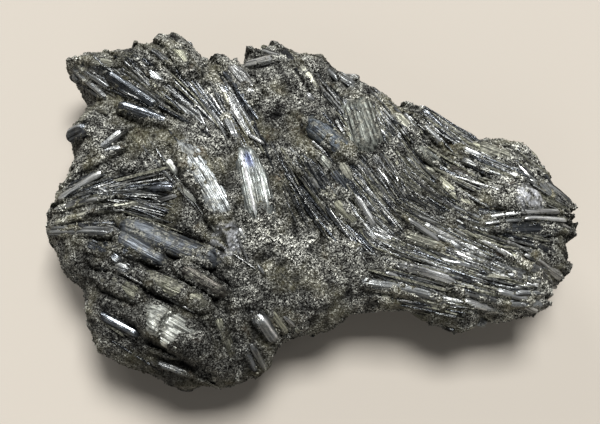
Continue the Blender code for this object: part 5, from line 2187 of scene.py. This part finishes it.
@dataclass
class Grit:
    """Loose-looking grains grown all over the mass, mostly where it is grainy."""

    density: float = 40.0
    smallest: float = 0.028
    largest: float = 0.085
    lowest: float = 0.4
    variants: int = 6

    @staticmethod
    def variant(index: int) -> Mesh:
        """Return one angular grain of about unit radius."""
        rng = random.Random(GRAIN_SHAPE_SEED + index)
        tips = ((1, 0, 0), (0, 1, 0), (-1, 0, 0), (0, -1, 0), (0, 0, 1), (0, 0, -1))
        points = [[part * rng.uniform(0.7, 1.4) for part in tip] for tip in tips]
        around, top, bottom = 4, 4, 5
        faces = []
        for here in range(around):
            after = (here + 1) % around
            faces += [(here, after, top), (after, here, bottom)]
        mesh = bpy.data.meshes.new(f"grain {index}")
        mesh.from_pydata(points, [], faces)
        return mesh

    @staticmethod
    def recipe() -> Recipe:
        """Return the tree that scatters grains over a mesh."""
        recipe = Recipe("grit")
        height = recipe.add("ShaderNodeSeparateXYZ", {0: recipe.place}).outputs["Z"]
        density = recipe.math("MULTIPLY", recipe.takes("Density"), recipe.named("grit", "FLOAT"))
        values = {"Mesh": recipe.geometry, "Density": density, "Seed": recipe.seed,
                  "Selection": recipe.math("GREATER_THAN", height, recipe.takes("Lowest"))}
        points = recipe.add("GeometryNodeDistributePointsOnFaces", values,
                           distribute_method="RANDOM").outputs["Points"]
        size = recipe.random_value(recipe.takes("Smallest"), recipe.takes("Largest"))
        recipe.ends_with(recipe.scattered(points, recipe.random_vector(0.0, math.tau), size))
        return recipe

    def build(self, skin: Mesh, finish: Material) -> Thing:
        """Return the grains as one piece.

        Args:
            skin: The mass in millimetres, with its "grit" attribute.
            finish: The material.

        Returns:
            The piece.
        """
        kinds = [self.variant(index) for index in range(self.variants)]
        mesh = self.recipe().baked(
            placed("grit carrier", skin), "grit", kinds, Density=self.density,
            Smallest=self.smallest, Largest=self.largest, Lowest=self.lowest, Seed=SEED,
            Material=finish,
        )
        return finished("grit", mesh, smooth_angle=0.0)


@dataclass(frozen=True)
class Lamp:
    """A square soft light: the way to it, its distance and side in metres, and its watts."""

    name: str
    way: tuple[float, float, float]
    distance: float
    side: float
    power: float

    def build(self) -> None:
        """Put the light in the scene, facing the specimen."""
        lamp = bpy.data.lights.new(self.name, "AREA")
        lamp.size = self.side
        lamp.energy = self.power
        obj = placed(self.name, lamp)
        direction = Vector(self.way).normalized()
        obj.location = direction * self.distance
        obj.rotation_euler = direction.to_track_quat("Z", "Y").to_euler()


@dataclass
class Studio:
    """The plain floor, the soft lights and the camera."""

    lamps: tuple[Lamp, ...] = (
        Lamp("key", (0.0, 0.32, 1.0), 1.2, 0.42, 31.0),
        Lamp("rim", (-0.5, 1.0, 0.6), 1.2, 0.4, 8.0),
        Lamp("fill", (-0.5, -0.8, 0.7), 1.4, 1.0, 4.5),
    )
    floor_half: float = 3.0
    floor_roughness: float = 0.85
    floor_colour: Colour = (0.3, 0.274, 0.238)
    world_colour: Colour = (0.80, 0.80, 0.80)
    world_strength: float = 0.2
    camera_place: tuple[float, float, float] = (-9.67, -19.42, 72.62)
    camera_aim: tuple[float, float, float] = (-1.31, -0.57, 5.0)
    camera_roll: float = -0.85
    camera_range: tuple[float, float] = (0.002, 20.0)
    lens: float = 67.7
    sensor: float = 36.0

    def floor(self) -> None:
        """Make the floor that the specimen rests on."""
        mesh = bpy.data.meshes.new("floor")
        half = self.floor_half
        corners = [(-half, -half, 0), (half, -half, 0), (half, half, 0), (-half, half, 0)]
        mesh.from_pydata(corners, [], [(0, 1, 2, 3)])
        _, shader = new_material("pale floor", metallic=0.0)
        shader.inputs["Base Color"].default_value = (*self.floor_colour, 1.0)
        shader.inputs["Roughness"].default_value = self.floor_roughness
        mesh.materials.append(bpy.data.materials["pale floor"])
        placed("floor", mesh)

    def surroundings(self) -> None:
        """Set up the pale light from all sides."""
        world = bpy.data.worlds.new("surroundings")
        world.use_nodes = True
        background = world.node_tree.nodes["Background"]
        background.inputs["Color"].default_value = (*self.world_colour, 1.0)
        background.inputs["Strength"].default_value = self.world_strength
        bpy.context.scene.world = world

    def camera(self) -> None:
        """Place the camera, which looks down on the specimen from its near side."""
        lens = bpy.data.cameras.new("camera")
        lens.sensor_width = self.sensor
        lens.lens = self.lens
        lens.clip_start, lens.clip_end = self.camera_range
        camera = placed("camera", lens)
        place = Vector(self.camera_place) + Vector(SHIFT)
        forward = (Vector(self.camera_aim) + Vector(SHIFT) - place).normalized()
        up_hint = Vector((math.sin(math.radians(-self.camera_roll)), 1.0, 0.0))
        right = forward.cross(up_hint).normalized()
        up = right.cross(forward)
        turn = Matrix((right, up, -forward)).transposed()
        camera.matrix_world = Matrix.LocRotScale(place * MM, turn.to_quaternion(), None)
        bpy.context.scene.camera = camera

    def build(self) -> None:
        """Set the stage."""
        self.floor()
        for lamp in self.lamps:
            lamp.build()
        self.surroundings()
        self.camera()
        bpy.context.scene.view_settings.view_transform = "Standard"


def main() -> None:
    """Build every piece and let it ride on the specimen's body."""
    logging.basicConfig(level=logging.INFO, format="%(message)s")
    Studio().build()
    layout = Layout(RockShape())
    finish = CylinderFinish().material()
    ground, grit = GroundMass(layout).build(GroundFinish().material())
    pieces = [ground, grit, *Cylinders(layout, finish).build(), Blades(layout).build(finish)]
    for piece in pieces:
        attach(piece, BODY)
        LOG.info("%s: %d faces", piece.name, len(piece.data.polygons))
    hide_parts(NODE)


if __name__ == "__main__":
    main()
